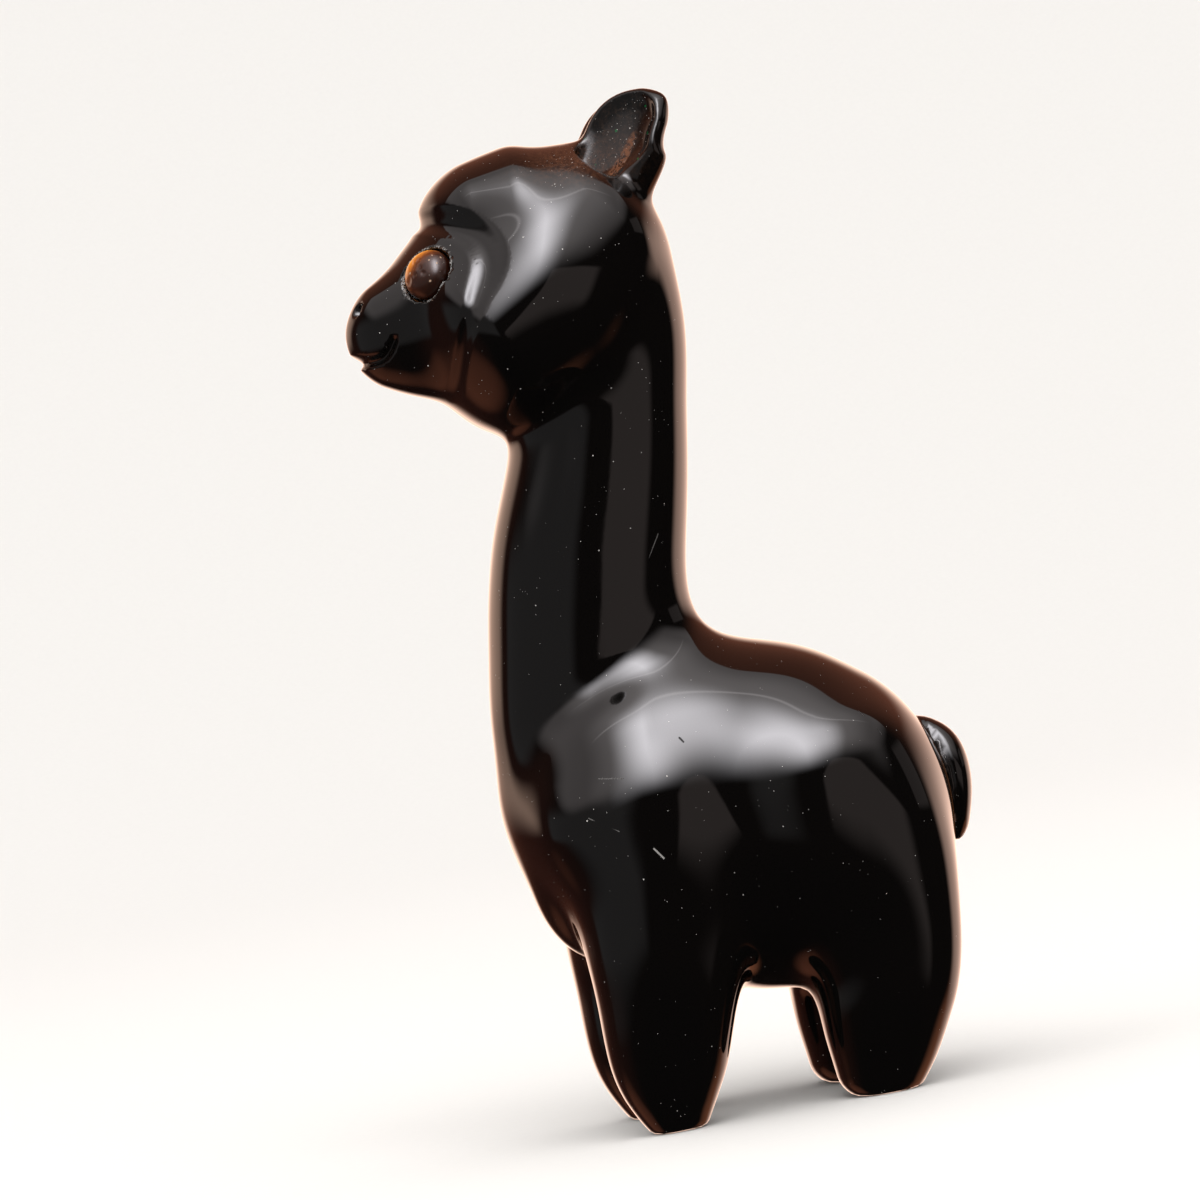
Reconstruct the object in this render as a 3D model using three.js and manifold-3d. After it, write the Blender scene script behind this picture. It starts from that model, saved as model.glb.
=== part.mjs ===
// A llama carved from one piece of polished black obsidian, with a tiger's-eye bead set in each eye socket.
// Millimetres, +Z up. It faces -X, its left side is -Y, and it stands on its four feet. The origin is on
// the ground, under the middle of the box around the figure.

import * as THREE from 'three';
import { mergeVertices } from 'three/addons/utils/BufferGeometryUtils.js';
import Module from 'manifold-3d';

const wasm = await Module();
wasm.setup();

// Driving sizes, in millimetres.
const height = 105; // from the ground to the tips of the ears
const width = 34.4; // across the haunches, where it is widest
const beadAcross = 5.2; // an eye bead, across its rim
const beadThick = 3.8; // the bead, from its back to the top of its dome
const beadProud = 1.4; // how far the dome stands out of the face
const socketGap = 0.3; // between a bead and its socket, all round
const bodyFacet = 2.6; // the size of the facets on the legs, the trunk and the neck
const headFacet = 1.4; // their size on the head, which has the finer carving

// The figure is a free form, so its pose, proportions and carving are shares of its height, and across the
// body shares of its width. The numbers in its stations are millimetres on a llama of the drawn sizes.
const drawn = { height: 105, width: 34.4 };
const tall = height / drawn.height;
const broad = width / drawn.width;

/**
 * The bends of a natural cubic spline through values that are one step apart. Each inner bend, with its two
 * neighbours, answers to the kink that the values make there, and both ends have none.
 */
function naturalBends(values) {
  const last = values.length - 1;
  const share = new Array(last + 1).fill(0);
  const bends = new Array(last + 1).fill(0);
  for (let i = 1; i < last; i += 1) {
    const kink = 6 * (values[i - 1] - 2 * values[i] + values[i + 1]);
    share[i] = 1 / (4 - share[i - 1]);
    bends[i] = (kink - bends[i - 1]) * share[i];
  }
  for (let i = last - 1; i > 0; i -= 1) {
    bends[i] -= share[i] * bends[i + 1];
  }
  return bends;
}

/** A smooth curve through rows of numbers, with row i at t = i. */
class Spline {
  constructor(rows) {
    this.rows = rows;
    this.last = rows.length - 1;
    const columns = rows[0].map((_, column) => naturalBends(rows.map((row) => row[column])));
    this.bends = rows.map((_, i) => columns.map((bends) => bends[i]));
  }

  /** The value at t, its first and its second change with t. */
  at(t) {
    const i = Math.min(Math.floor(t), this.last - 1);
    const right = t - i;
    const left = 1 - right;
    const value = [];
    const slope = [];
    const curve = [];
    for (let c = 0; c < this.rows[i].length; c += 1) {
      const a = this.rows[i][c];
      const b = this.rows[i + 1][c];
      const bendA = this.bends[i][c];
      const bendB = this.bends[i + 1][c];
      value[c] = left * a + right * b + ((left ** 3 - left) * bendA + (right ** 3 - right) * bendB) / 6;
      slope[c] = b - a + ((1 - 3 * left ** 2) * bendA + (3 * right ** 2 - 1) * bendB) / 6;
      curve[c] = left * bendA + right * bendB;
    }
    return { value, slope, curve };
  }

  /** Points spread evenly in t from end to end. */
  samples(count) {
    return Array.from({ length: count }, (_, i) => {
      const t = (this.last * i) / (count - 1);
      return { t, ...this.at(t) };
    });
  }
}

const sampleCount = 32; // points along a spline, from which the nearest is sought
const reach = 16 * tall; // beyond this distance from a limb's box, the box stands for the limb
const newtonSteps = 3;
const slowest = 0.4; // the least share of the usual divisor in one of Newton's steps, where the curve is tight
const mostTaper = 0.5; // the share of its size that a section can gain or lose over a cap
const sideways = new THREE.Vector3(0, 1, 0);

/**
 * A swelling form along a curve. Each station is x, y, z, deep and wide: a point of the curve, and the half
 * sizes of the rounded section there, in the side plane and across it. A section is a superellipse of the
 * given power, and both ends close over a cap of the given lengths. turn rolls the section about the curve.
 */
class Limb {
  constructor(stations, { power, caps, turn = 0 }) {
    this.spline = new Spline(
      stations.map(([x, y, z, deep, wide]) => [x * tall, y * broad, z * tall, deep * tall, wide * broad]),
    );
    this.power = power;
    this.caps = caps.map((cap) => cap * tall);
    this.turn = turn;
    this.samples = this.spline.samples(sampleCount);
    this.box = new THREE.Box3();
    let largest = Math.max(...this.caps);
    for (const { value } of this.samples) {
      this.box.expandByPoint(new THREE.Vector3(value[0], value[1], value[2]));
      largest = Math.max(largest, value[3], value[4]);
    }
    this.box.expandByScalar(largest);
  }

  /** The t of the curve's nearest point: the nearest sample, then Newton's steps to the foot of the normal. */
  nearest(point) {
    let t = 0;
    let best = Infinity;
    for (const { t: at, value } of this.samples) {
      const away = (value[0] - point.x) ** 2 + (value[1] - point.y) ** 2 + (value[2] - point.z) ** 2;
      if (away < best) {
        best = away;
        t = at;
      }
    }
    for (let step = 0; step < newtonSteps; step += 1) {
      const { value, slope, curve } = this.spline.at(t);
      const gap = [value[0] - point.x, value[1] - point.y, value[2] - point.z];
      let along = 0;
      let speed = 0;
      let turning = 0;
      for (let c = 0; c < 3; c += 1) {
        along += gap[c] * slope[c];
        speed += slope[c] ** 2;
        turning += gap[c] * curve[c];
      }
      t -= along / Math.max(speed + turning, slowest * speed);
      t = Math.min(Math.max(t, 0), this.spline.last);
    }
    return t;
  }

  /** About the distance from the limb's surface, less than zero inside. */
  distance(point) {
    const away = this.box.distanceToPoint(point);
    if (away > reach) {
      return away + reach;
    }
    const { value, slope } = this.spline.at(this.nearest(point));
    const axis = new THREE.Vector3(slope[0], slope[1], slope[2]);
    const pace = axis.length();
    axis.divideScalar(pace);
    const depthwise = new THREE.Vector3().crossVectors(axis, sideways).normalize();
    depthwise.applyAxisAngle(axis, this.turn);
    const widthwise = new THREE.Vector3().crossVectors(depthwise, axis);
    const offset = new THREE.Vector3(point.x - value[0], point.y - value[1], point.z - value[2]);
    const beyond = offset.dot(axis);
    const cap = beyond < 0 ? this.caps[0] : this.caps[1];
    const past = THREE.MathUtils.clamp(beyond, -cap, cap) / pace;
    const [deep, wide] = [3, 4].map((size) => {
      const most = mostTaper * value[size];
      return value[size] + THREE.MathUtils.clamp(slope[size] * past, -most, most);
    });
    let sum = 0;
    let steepness = 0;
    for (const [part, size] of [[offset.dot(depthwise), deep], [offset.dot(widthwise), wide], [beyond, cap]]) {
      const share = Math.abs(part) / size;
      sum += share ** this.power;
      steepness += (share ** (this.power - 1) / size) ** 2;
    }
    const level = Math.max(sum, 1e-12) ** (1 / this.power);
    const slopeOut = Math.sqrt(steepness) / level ** (this.power - 1);
    return (level - 1) / Math.max(slopeOut, 1e-3);
  }
}

/**
 * A furrow that runs through the figure from side to side. Its rows are x, z, depth and width, and it is
 * deepest on its own line: the depth falls off as the square of one less the squared share of the width.
 */
class Groove {
  constructor(rows) {
    this.samples = new Spline(rows.map((row) => row.map((size) => size * tall))).samples(sampleCount);
  }

  /** How far the surface is pushed in at a point. */
  depth(point) {
    let best = Infinity;
    let push = 0;
    for (let i = 1; i < this.samples.length; i += 1) {
      const [ax, az, aDepth, aWidth] = this.samples[i - 1].value;
      const [bx, bz, bDepth, bWidth] = this.samples[i].value;
      const lengthSquared = (bx - ax) ** 2 + (bz - az) ** 2;
      const along = ((point.x - ax) * (bx - ax) + (point.z - az) * (bz - az)) / lengthSquared;
      const share = THREE.MathUtils.clamp(along, 0, 1);
      const away = Math.hypot(point.x - ax - share * (bx - ax), point.z - az - share * (bz - az));
      if (away < best) {
        best = away;
        const across = away / (aWidth + share * (bWidth - aWidth));
        push = (aDepth + share * (bDepth - aDepth)) * Math.max(1 - across ** 2, 0) ** 2;
      }
    }
    return push;
  }
}

/** Two forms joined, with a fillet of about the given radius where their surfaces meet. */
function blend(a, b, radius) {
  const near = Math.max(radius * tall - Math.abs(a - b), 0) / (radius * tall);
  return Math.min(a, b) - (near ** 3 * radius * tall) / 6;
}

/** The first form without the second, with the edge rounded over. */
function carve(a, b, radius) {
  return -blend(-a, b, radius);
}

// The llama's limbs, from the trunk to the ears. Only the +Y one of each pair is here: the figure is even.
const trunk = new Limb([
  [-7.2, 0, 34.2, 14.6, 15.2],
  [2.0, 0, 31.0, 17.4, 16.1],
  [9.0, 0, 28.8, 17.8, 16.3],
  [14.6, 0, 27.2, 16.1, 15.6],
], { power: 2.25, caps: [12.2, 11.3] });

const neck = new Limb([
  [-10.2, 0, 26.0, 8.0, 6.4],
  [-10.4, 0, 34.0, 9.0, 8.0],
  [-9.6, 0, 42.0, 9.9, 8.8],
  [-8.3, 0, 50.0, 10.1, 9.0],
  [-6.6, 0, 58.5, 10.0, 8.9],
  [-4.3, 0, 66.5, 9.4, 8.8],
  [-2.5, 0, 74.5, 8.9, 8.6],
  [-1.2, 0, 82.0, 8.7, 8.8],
  [-0.9, 0, 88.5, 8.0, 8.6],
], { power: 2.4, caps: [8.5, 6.5] });

const crown = new Limb([
  [-10.5, 0, 91.4, 8.6, 8.8],
  [-7.0, 0, 91.4, 9.8, 9.8],
  [-3.0, 0, 90.7, 10.8, 9.6],
  [0.6, 0, 90.1, 10.4, 9.0],
], { power: 2.0, caps: [7.0, 4.6] });

const forelock = new Limb([
  [-9.0, 0, 95.3, 6.4, 9.0],
  [-13.0, 0, 95.6, 5.3, 8.2],
], { power: 2.0, caps: [4.0, 4.8] });

const throat = new Limb([
  [-5.0, 0, 84.6, 9.0, 10.2],
  [-12.2, 0, 82.4, 9.3, 10.4],
], { power: 2.2, caps: [4.5, 7.0] });

// A cheek swells along a slanting line, from behind the ear down to the side of the throat.
const cheek = new Limb([
  [-0.4, 2.0, 91.4, 7.2, 8.7],
  [-6.6, 3.2, 86.9, 9.2, 10.3],
  [-12.8, 3.4, 82.6, 8.6, 10.6],
], { power: 2.1, caps: [4.4, 4.6] });

const muzzle = new Limb([
  [-11.6, 0, 86.8, 9.5, 10.4],
  [-16.2, 0, 85.7, 9.1, 9.0],
  [-20.4, 0, 85.0, 7.3, 7.0],
  [-24.2, 0, 84.85, 5.2, 4.8],
], { power: 2.2, caps: [3.0, 3.1] });

const frontLeg = new Limb([
  [-8.0, 8.0, 31.5, 8.6, 7.2],
  [-6.8, 8.8, 25.0, 8.3, 7.2],
  [-6.9, 9.0, 18.0, 7.9, 6.9],
  [-7.7, 8.8, 12.0, 6.9, 6.3],
  [-8.4, 8.5, 6.6, 5.9, 5.4],
  [-8.5, 8.3, 3.0, 4.5, 4.5],
  [-8.4, 8.2, 0.8, 3.3, 3.5],
], { power: 2.6, caps: [5.5, 1.9] });

const hindLeg = new Limb([
  [12.6, 8.6, 33.0, 8.4, 7.6],
  [14.8, 8.9, 23.5, 8.9, 7.6],
  [15.3, 8.9, 14.2, 7.9, 6.9],
  [14.5, 8.8, 9.0, 6.9, 6.4],
  [13.5, 8.6, 4.6, 5.7, 5.4],
  [12.5, 8.4, 1.0, 4.2, 4.4],
], { power: 2.5, caps: [6.0, 2.0] });

const tail = new Limb([
  [25.0, 0, 35.4, 1.3, 2.2],
  [26.5, 0, 33.0, 2.0, 3.4],
  [27.0, 0, 29.2, 1.9, 3.8],
  [26.6, 0, 25.6, 1.5, 3.1],
], { power: 2.2, caps: [1.6, 2.4] });

const earTurn = 0.75; // radians that an ear's flat side turns outwards
const ear = new Limb([
  [1.8, 4.0, 94.8, 4.0, 2.5],
  [3.2, 4.7, 98.0, 5.0, 2.4],
  [4.9, 5.7, 101.1, 5.0, 2.1],
  [7.2, 6.8, 103.0, 2.9, 1.5],
], { power: 2.1, caps: [2.0, 1.7], turn: earTurn });

const earHollow = new Limb([
  [-0.3, 5.2, 98.4, 2.2, 1.2],
  [1.7, 6.2, 99.9, 4.0, 1.7],
  [4.0, 7.1, 101.9, 4.3, 1.7],
  [6.2, 7.9, 103.2, 2.4, 1.0],
], { power: 2.0, caps: [2.0, 1.0], turn: earTurn });

const nostril = new Limb([
  [-27.4, 1.9, 88.4, 0.9, 0.9],
  [-25.2, 2.3, 87.6, 0.8, 0.8],
], { power: 2.0, caps: [0.6, 0.6] });

// The furrow between the bare face and the wool, from the forelock down to the throat.
const faceGroove = new Groove([
  [-17.8, 95.6, 0.4, 1.6],
  [-15.6, 94.8, 0.5, 1.9],
  [-13.9, 93.4, 0.5, 2.1],
  [-12.7, 91.6, 0.5, 2.2],
  [-12.9, 89.2, 0.5, 2.1],
  [-14.3, 86.8, 0.6, 1.7],
  [-15.8, 84.0, 0.7, 1.4],
  [-16.9, 80.8, 0.7, 1.3],
  [-17.6, 77.6, 0.4, 1.3],
]);

const mouth = new Groove([
  [-27.6, 82.9, 0.6, 0.9],
  [-25.6, 82.4, 0.8, 0.9],
  [-24.0, 82.6, 0.8, 0.9],
  [-22.9, 84.0, 0.5, 0.8],
]);

// The fillets where the limbs meet, and the rounding on the rims of the hollows.
const fillet = {
  chest: 3,
  back: 14,
  belly: 3,
  thigh: 6,
  throat: 5.5,
  cheek: 8,
  forelock: 4,
  snout: 2.6,
  nape: 3.5,
  tail: 1,
  ear: 2.2,
};
const chestEnd = -10; // the neck's fillet grows from the chest's here
const backStart = 5; // to the back's here
const rim = { ear: 0.8, nostril: 0.5 };

/** About the distance from the carved figure's surface, less than zero inside. */
function figure(anywhere) {
  const point = anywhere.clone().setY(Math.abs(anywhere.y));
  const backShare = THREE.MathUtils.smoothstep(point.x, chestEnd * tall, backStart * tall);
  const shoulder = THREE.MathUtils.lerp(fillet.chest, fillet.back, backShare);
  const legs = blend(frontLeg.distance(point), hindLeg.distance(point), fillet.belly);
  let form = blend(trunk.distance(point), neck.distance(point), shoulder);
  form = blend(form, legs, fillet.thigh);
  let skull = blend(crown.distance(point), throat.distance(point), fillet.throat);
  skull = blend(skull, cheek.distance(point), fillet.cheek);
  skull = blend(skull, forelock.distance(point), fillet.forelock);
  const furrows = faceGroove.depth(point) + mouth.depth(point);
  const head = blend(skull, muzzle.distance(point), fillet.snout) + furrows;
  form = blend(form, head, fillet.nape);
  form = blend(form, tail.distance(point), fillet.tail);
  form = blend(form, ear.distance(point), fillet.ear);
  form = carve(form, earHollow.distance(point), rim.ear);
  return carve(form, nostril.distance(point), rim.nostril);
}

const probe = 0.02; // millimetres between a point and the four round it that measure the slope
const longestMove = 0.5; // millimetres that a point may go in one step towards the surface
const flattest = 0.05; // the least squared slope that a step is worked out from
const tetrahedron = [[1, -1, -1], [-1, -1, 1], [-1, 1, -1], [1, 1, 1]].map((c) => new THREE.Vector3(...c));

/** The form's value at a point, and the direction and steepness in which it grows. */
function slopeAt(point) {
  const gradient = new THREE.Vector3();
  let total = 0;
  for (const corner of tetrahedron) {
    const value = figure(point.clone().addScaledVector(corner, probe));
    total += value;
    gradient.addScaledVector(corner, value / (4 * probe));
  }
  return { value: total / 4, gradient };
}

/** Moves a point onto the surface, by Newton's steps along the slope. */
function settle(point) {
  for (let round = 0; round < 2; round += 1) {
    const { value, gradient } = slopeAt(point);
    const step = value / Math.max(gradient.lengthSq(), flattest);
    point.addScaledVector(gradient, -THREE.MathUtils.clamp(step, -longestMove, longestMove));
  }
  return point;
}

// The lattice in which the surface is found. Its cells shrink from the body's facets to the head's between
// the two heights, and its middle moves forward with them, because the head is in front of the body.
const bodyTop = 62 * tall;
const headBottom = 76 * tall;
const bodyMiddle = 4.5 * tall;
const headMiddle = -9 * tall;
const belowGround = 3.12 * tall; // the soles go on this far, and are cut off flat later
const spareCells = 3; // outside the limbs on each side, for their fillets

/** The lattice cells from the middle to the furthest of some limbs, along X and along Y. */
function cellsAcross(limbs, middle, facet) {
  const box = new THREE.Box3();
  limbs.forEach((limb) => box.union(limb.box));
  return [Math.max(middle - box.min.x, box.max.x - middle) / facet, box.max.y / facet];
}

const bodyCells = cellsAcross([trunk, neck, frontLeg, hindLeg, tail], bodyMiddle, bodyFacet);
const headCells = cellsAcross([crown, forelock, throat, cheek, muzzle, ear], headMiddle, headFacet);
const [columns, rows] = [0, 1].map((side) => {
  const cells = Math.max(bodyCells[side], headCells[side]);
  return 2 * Math.ceil(cells + spareCells);
});
const headShare = (z) => THREE.MathUtils.smoothstep(z, bodyTop, headBottom);
const facetAt = (z) => THREE.MathUtils.lerp(bodyFacet, headFacet, headShare(z));
const levels = [-belowGround - bodyFacet];
while (levels.at(-1) < ear.box.max.z + headFacet) {
  levels.push(levels.at(-1) + facetAt(levels.at(-1)));
}

/** The place of a lattice point. None lies on the plane between left and right. */
function latticePoint(i, j, k) {
  const z = levels[k];
  const middle = THREE.MathUtils.lerp(bodyMiddle, headMiddle, headShare(z));
  const x = middle + (i - (columns - 1) / 2) * facetAt(z);
  return new THREE.Vector3(x, (j - (rows - 1) / 2) * facetAt(z), z);
}

// A lattice cell's eight corners are numbered by their bits: 1 is along X, 2 along Y and 4 along Z.
const axisBits = [1, 2, 4];
const cellCorners = [0, 1, 2, 3, 4, 5, 6, 7];
const cellEdges = cellCorners.flatMap((corner) => axisBits
  .filter((bit) => (corner & bit) === 0)
  .map((bit) => [corner, corner | bit]));
const cellFaces = axisBits.flatMap((bit, axis) => {
  const [u, v] = [axisBits[(axis + 1) % 3], axisBits[(axis + 2) % 3]];
  return [0, bit].map((base) => [base, base + u, base + u + v, base + v]);
});

/** The number of the cell's edge between two of its corners. */
function edgeBetween(a, b) {
  return cellEdges.findIndex(([low, high]) => low === Math.min(a, b) && high === Math.max(a, b));
}

/**
 * The sheets of surface in a cell whose inside corners are the set bits: for each edge, the number of the
 * sheet that crosses it, or -1. Two crossed edges of one face are on one sheet, and two sheets that pass
 * through one cell stay apart.
 */
function sheetsOf(insideBits) {
  const isInside = (corner) => ((insideBits >> corner) & 1) === 1;
  const sheets = cellEdges.map(([a, b], edge) => (isInside(a) === isInside(b) ? -1 : edge));
  const join = (kept, joined) => {
    const number = sheets[joined];
    sheets.forEach((sheet, edge) => {
      sheets[edge] = sheet === number ? sheets[kept] : sheet;
    });
  };
  for (const ring of cellFaces) {
    const around = ring.map((corner, n) => edgeBetween(corner, ring[(n + 1) % 4]));
    const crossed = around.filter((edge) => sheets[edge] >= 0);
    if (crossed.length === 2) {
      join(crossed[0], crossed[1]);
    }
  }
  return sheets;
}

const sheetTable = Array.from({ length: 2 ** cellCorners.length }, (_, insideBits) => sheetsOf(insideBits));

const strides = [1, columns, columns * rows];
const index = (i, j, k) => i * strides[0] + j * strides[1] + k * strides[2];
const cornerSteps = cellCorners.map((corner) => {
  const moved = strides.filter((_, axis) => (corner & axisBits[axis]) !== 0);
  return moved.reduce((sum, stride) => sum + stride, 0);
});

/**
 * Where a cell's face has its inside corners opposite each other, the surface would pass through it twice.
 * The corner that is nearest to the surface changes sides there, and its mirror image with it.
 */
function untangle(values) {
  let tangled = true;
  while (tangled) {
    tangled = false;
    for (let k = 0; k < levels.length - 1; k += 1) {
      for (let j = 0; j < rows - 1; j += 1) {
        for (let i = 0; i < columns - 1; i += 1) {
          const cell = index(i, j, k);
          for (const ring of cellFaces) {
            const corners = ring.map((corner) => cell + cornerSteps[corner]);
            const changes = corners.filter((at, n) => values[at] < 0 !== values[corners[(n + 1) % 4]] < 0);
            if (changes.length === 4) {
              const nearest = corners.reduce((a, b) => (Math.abs(values[a]) < Math.abs(values[b]) ? a : b));
              const row = Math.floor(nearest / columns) % rows;
              values[nearest] *= -1;
              values[nearest + (rows - 1 - 2 * row) * columns] = values[nearest];
              tangled = true;
            }
          }
        }
      }
    }
  }
}

/**
 * The figure's surface as a closed mesh. Each sheet in a lattice cell has one vertex, from the middle of its
 * crossings of the cell's edges, and each crossed lattice edge has a quad between the four cells around it.
 */
function carveFigure() {
  const points = [];
  const values = [];
  for (let k = 0; k < levels.length; k += 1) {
    for (let j = 0; j < rows; j += 1) {
      for (let i = 0; i < columns; i += 1) {
        const mirrored = rows - 1 - j;
        points.push(latticePoint(i, j, k));
        values.push(mirrored < j ? values[index(i, mirrored, k)] : figure(points.at(-1)));
      }
    }
  }
  untangle(values);
  const vertices = [];
  const edgeVertices = new Map();
  for (let k = 0; k < levels.length - 1; k += 1) {
    for (let j = 0; j < rows - 1; j += 1) {
      for (let i = 0; i < columns - 1; i += 1) {
        const cell = index(i, j, k);
        const insideBits = cornerSteps.reduce((bits, step, c) => bits | ((values[cell + step] < 0) << c), 0);
        const sheets = sheetTable[insideBits];
        const vertexOf = new Map();
        for (const sheet of new Set(sheets.filter((number) => number >= 0))) {
          const crossings = cellEdges.filter((_, edge) => sheets[edge] === sheet).map(([a, b]) => {
            const [low, high] = [cell + cornerSteps[a], cell + cornerSteps[b]];
            return points[low].clone().lerp(points[high], values[low] / (values[low] - values[high]));
          });
          const middle = new THREE.Vector3();
          crossings.forEach((crossing) => middle.addScaledVector(crossing, 1 / crossings.length));
          vertexOf.set(sheet, vertices.length);
          vertices.push(settle(middle));
        }
        edgeVertices.set(cell, sheets.map((sheet) => vertexOf.get(sheet)));
      }
    }
  }
  const triangles = [];
  for (let k = 1; k < levels.length - 1; k += 1) {
    for (let j = 1; j < rows - 1; j += 1) {
      for (let i = 1; i < columns - 1; i += 1) {
        const start = index(i, j, k);
        axisBits.forEach((bit, axis) => {
          const inside = values[start] < 0;
          if (inside === values[start + strides[axis]] < 0) {
            return;
          }
          const [u, v] = [(axis + 1) % 3, (axis + 2) % 3];
          const ring = [[0, 0], [1, 0], [1, 1], [0, 1]].map(([p, q]) => {
            const corner = p * axisBits[u] + q * axisBits[v];
            return edgeVertices.get(start - cornerSteps[corner])[edgeBetween(corner, corner | bit)];
          });
          if (!inside) {
            ring.reverse();
          }
          const corners = ring.map((vertex) => vertices[vertex]);
          const firstMiss = Math.abs(figure(corners[0].clone().lerp(corners[2], 0.5)));
          const secondMiss = Math.abs(figure(corners[1].clone().lerp(corners[3], 0.5)));
          const turn = firstMiss < secondMiss ? 0 : 1;
          const [a, b, c, d] = [0, 1, 2, 3].map((corner) => ring[(corner + turn) % 4]);
          triangles.push(a, b, c, a, c, d);
        });
      }
    }
  }
  const geometry = new THREE.BufferGeometry().setFromPoints(vertices);
  geometry.setIndex(triangles);
  return geometry;
}

/** A closed mesh as a solid that can be cut. */
function solidOf(geometry) {
  const bare = geometry.clone();
  bare.deleteAttribute('normal');
  bare.deleteAttribute('uv');
  const merged = mergeVertices(bare, 1e-4);
  return new wasm.Manifold(new wasm.Mesh({
    numProp: 3,
    vertProperties: new Float32Array(merged.attributes.position.array),
    triVerts: new Uint32Array(merged.index.array),
  }));
}

/** A solid as a mesh again. */
function geometryOf(solid) {
  const mesh = solid.getMesh();
  const geometry = new THREE.BufferGeometry();
  geometry.setAttribute('position', new THREE.BufferAttribute(new Float32Array(mesh.vertProperties), 3));
  geometry.setIndex(new THREE.BufferAttribute(new Uint32Array(mesh.triVerts), 1));
  geometry.computeVertexNormals();
  return geometry;
}

// The eyes look out from the sides of the face, at this place in the side view.
const eyeForward = -18.75 * tall;
const eyeHeight = 90 * tall;
const beadSides = 20;
const socketSides = 28;
const halvings = 40; // of the stretch in which the face's surface is sought

/** The point of the face where an eye sits, and the direction straight out of it. Side is -1 or 1. */
function eyeSeat(side) {
  let inner = 0;
  let outer = width / 2;
  for (let halving = 0; halving < halvings; halving += 1) {
    const middle = (inner + outer) / 2;
    if (figure(new THREE.Vector3(eyeForward, middle, eyeHeight)) < 0) {
      inner = middle;
    } else {
      outer = middle;
    }
  }
  const point = new THREE.Vector3(eyeForward, side * inner, eyeHeight);
  return { point, outward: slopeAt(point).gradient.normalize() };
}

/** A mesh modelled along +Y from the origin, moved to an eye and turned to look out of it. */
function placeAtEye(geometry, side) {
  const { point, outward } = eyeSeat(side);
  const turned = new THREE.Quaternion().setFromUnitVectors(sideways, outward);
  return geometry.applyQuaternion(turned).translate(point.x, point.y, point.z);
}

/** The round pocket that holds a bead: as wide and as deep as the bead, with the gap all round. */
function socket(side) {
  const depth = beadThick - beadProud + socketGap;
  const above = beadProud;
  const radius = beadAcross / 2 + socketGap;
  const pocket = new THREE.CylinderGeometry(radius, radius, depth + above, socketSides);
  pocket.translate(0, (above - depth) / 2, 0);
  return solidOf(placeAtEye(pocket, side));
}

/** A bead: a flattened ball, with its dome standing proud of the face. */
function bead(side) {
  const ball = new THREE.SphereGeometry(1, beadSides, beadSides / 2);
  ball.scale(beadAcross / 2, beadThick / 2, beadAcross / 2);
  ball.translate(0, beadProud - beadThick / 2, 0);
  return placeAtEye(ball, side);
}

/** All that is above the ground, so that the feet are cut off flat. */
function aboveGround() {
  const room = 2 * height;
  return solidOf(new THREE.BoxGeometry(room, room, room).translate(0, 0, room / 2));
}

const obsidian = new THREE.MeshStandardMaterial({ color: 0x0b0a0a, roughness: 0.08, metalness: 0 });
const tigerEye = new THREE.MeshStandardMaterial({ color: 0x6b3410, roughness: 0.12, metalness: 0 });

/** A named piece of the figure. */
function piece(name, geometry, material) {
  const mesh = new THREE.Mesh(geometry, material);
  mesh.name = name;
  return mesh;
}

const carved = solidOf(carveFigure()).intersect(aboveGround());
const bodyShape = geometryOf(carved.subtract(socket(-1)).subtract(socket(1)));

const llama = new THREE.Group();
llama.add(piece('llama_body', bodyShape, obsidian));
llama.add(piece('eye_left', bead(-1), tigerEye));
llama.add(piece('eye_right', bead(1), tigerEye));

// The stations are drawn from a point between the legs. The origin goes under the middle of the figure.
bodyShape.computeBoundingBox();
llama.position.x = -(bodyShape.boundingBox.min.x + bodyShape.boundingBox.max.x) / 2;

export default llama;
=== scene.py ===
# %% [markdown]
# # A llama carved in black obsidian
# The real object is a 105 mm souvenir: one piece of volcanic glass, ground into a llama on a wheel, polished
# like a mirror, with a tiger's-eye bead in each eye. A black mirror shows nothing of its own. What the eye
# reads is how its surface bends the room, so the shape has to be smooth to a hundredth of a millimetre, and
# the room matters as much as the stone. First comes the carving, then the beads, the finishes and the room.

# %% Load the frame
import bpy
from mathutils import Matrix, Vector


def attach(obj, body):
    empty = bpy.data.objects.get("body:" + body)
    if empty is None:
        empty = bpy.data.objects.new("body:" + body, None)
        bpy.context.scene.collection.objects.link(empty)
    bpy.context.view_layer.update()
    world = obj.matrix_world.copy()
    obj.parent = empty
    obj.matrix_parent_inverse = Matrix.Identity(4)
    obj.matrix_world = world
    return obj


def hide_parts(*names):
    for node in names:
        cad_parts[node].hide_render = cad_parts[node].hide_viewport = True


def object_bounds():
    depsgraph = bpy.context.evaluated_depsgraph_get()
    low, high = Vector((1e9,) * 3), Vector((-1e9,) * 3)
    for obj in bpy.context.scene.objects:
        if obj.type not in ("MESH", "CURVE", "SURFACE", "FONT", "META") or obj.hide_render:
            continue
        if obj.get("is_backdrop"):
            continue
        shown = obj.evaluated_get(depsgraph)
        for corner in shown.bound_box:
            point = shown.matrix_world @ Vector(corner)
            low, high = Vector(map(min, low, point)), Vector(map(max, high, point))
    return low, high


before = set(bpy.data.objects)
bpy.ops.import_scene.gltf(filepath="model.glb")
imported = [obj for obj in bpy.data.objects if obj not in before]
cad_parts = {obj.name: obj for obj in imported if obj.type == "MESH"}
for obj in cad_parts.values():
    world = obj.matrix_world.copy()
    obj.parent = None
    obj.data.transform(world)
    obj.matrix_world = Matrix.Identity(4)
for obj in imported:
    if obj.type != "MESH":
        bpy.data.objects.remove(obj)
cad_low, cad_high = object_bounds()
print("nodes in the frame:", sorted(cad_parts))

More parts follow.
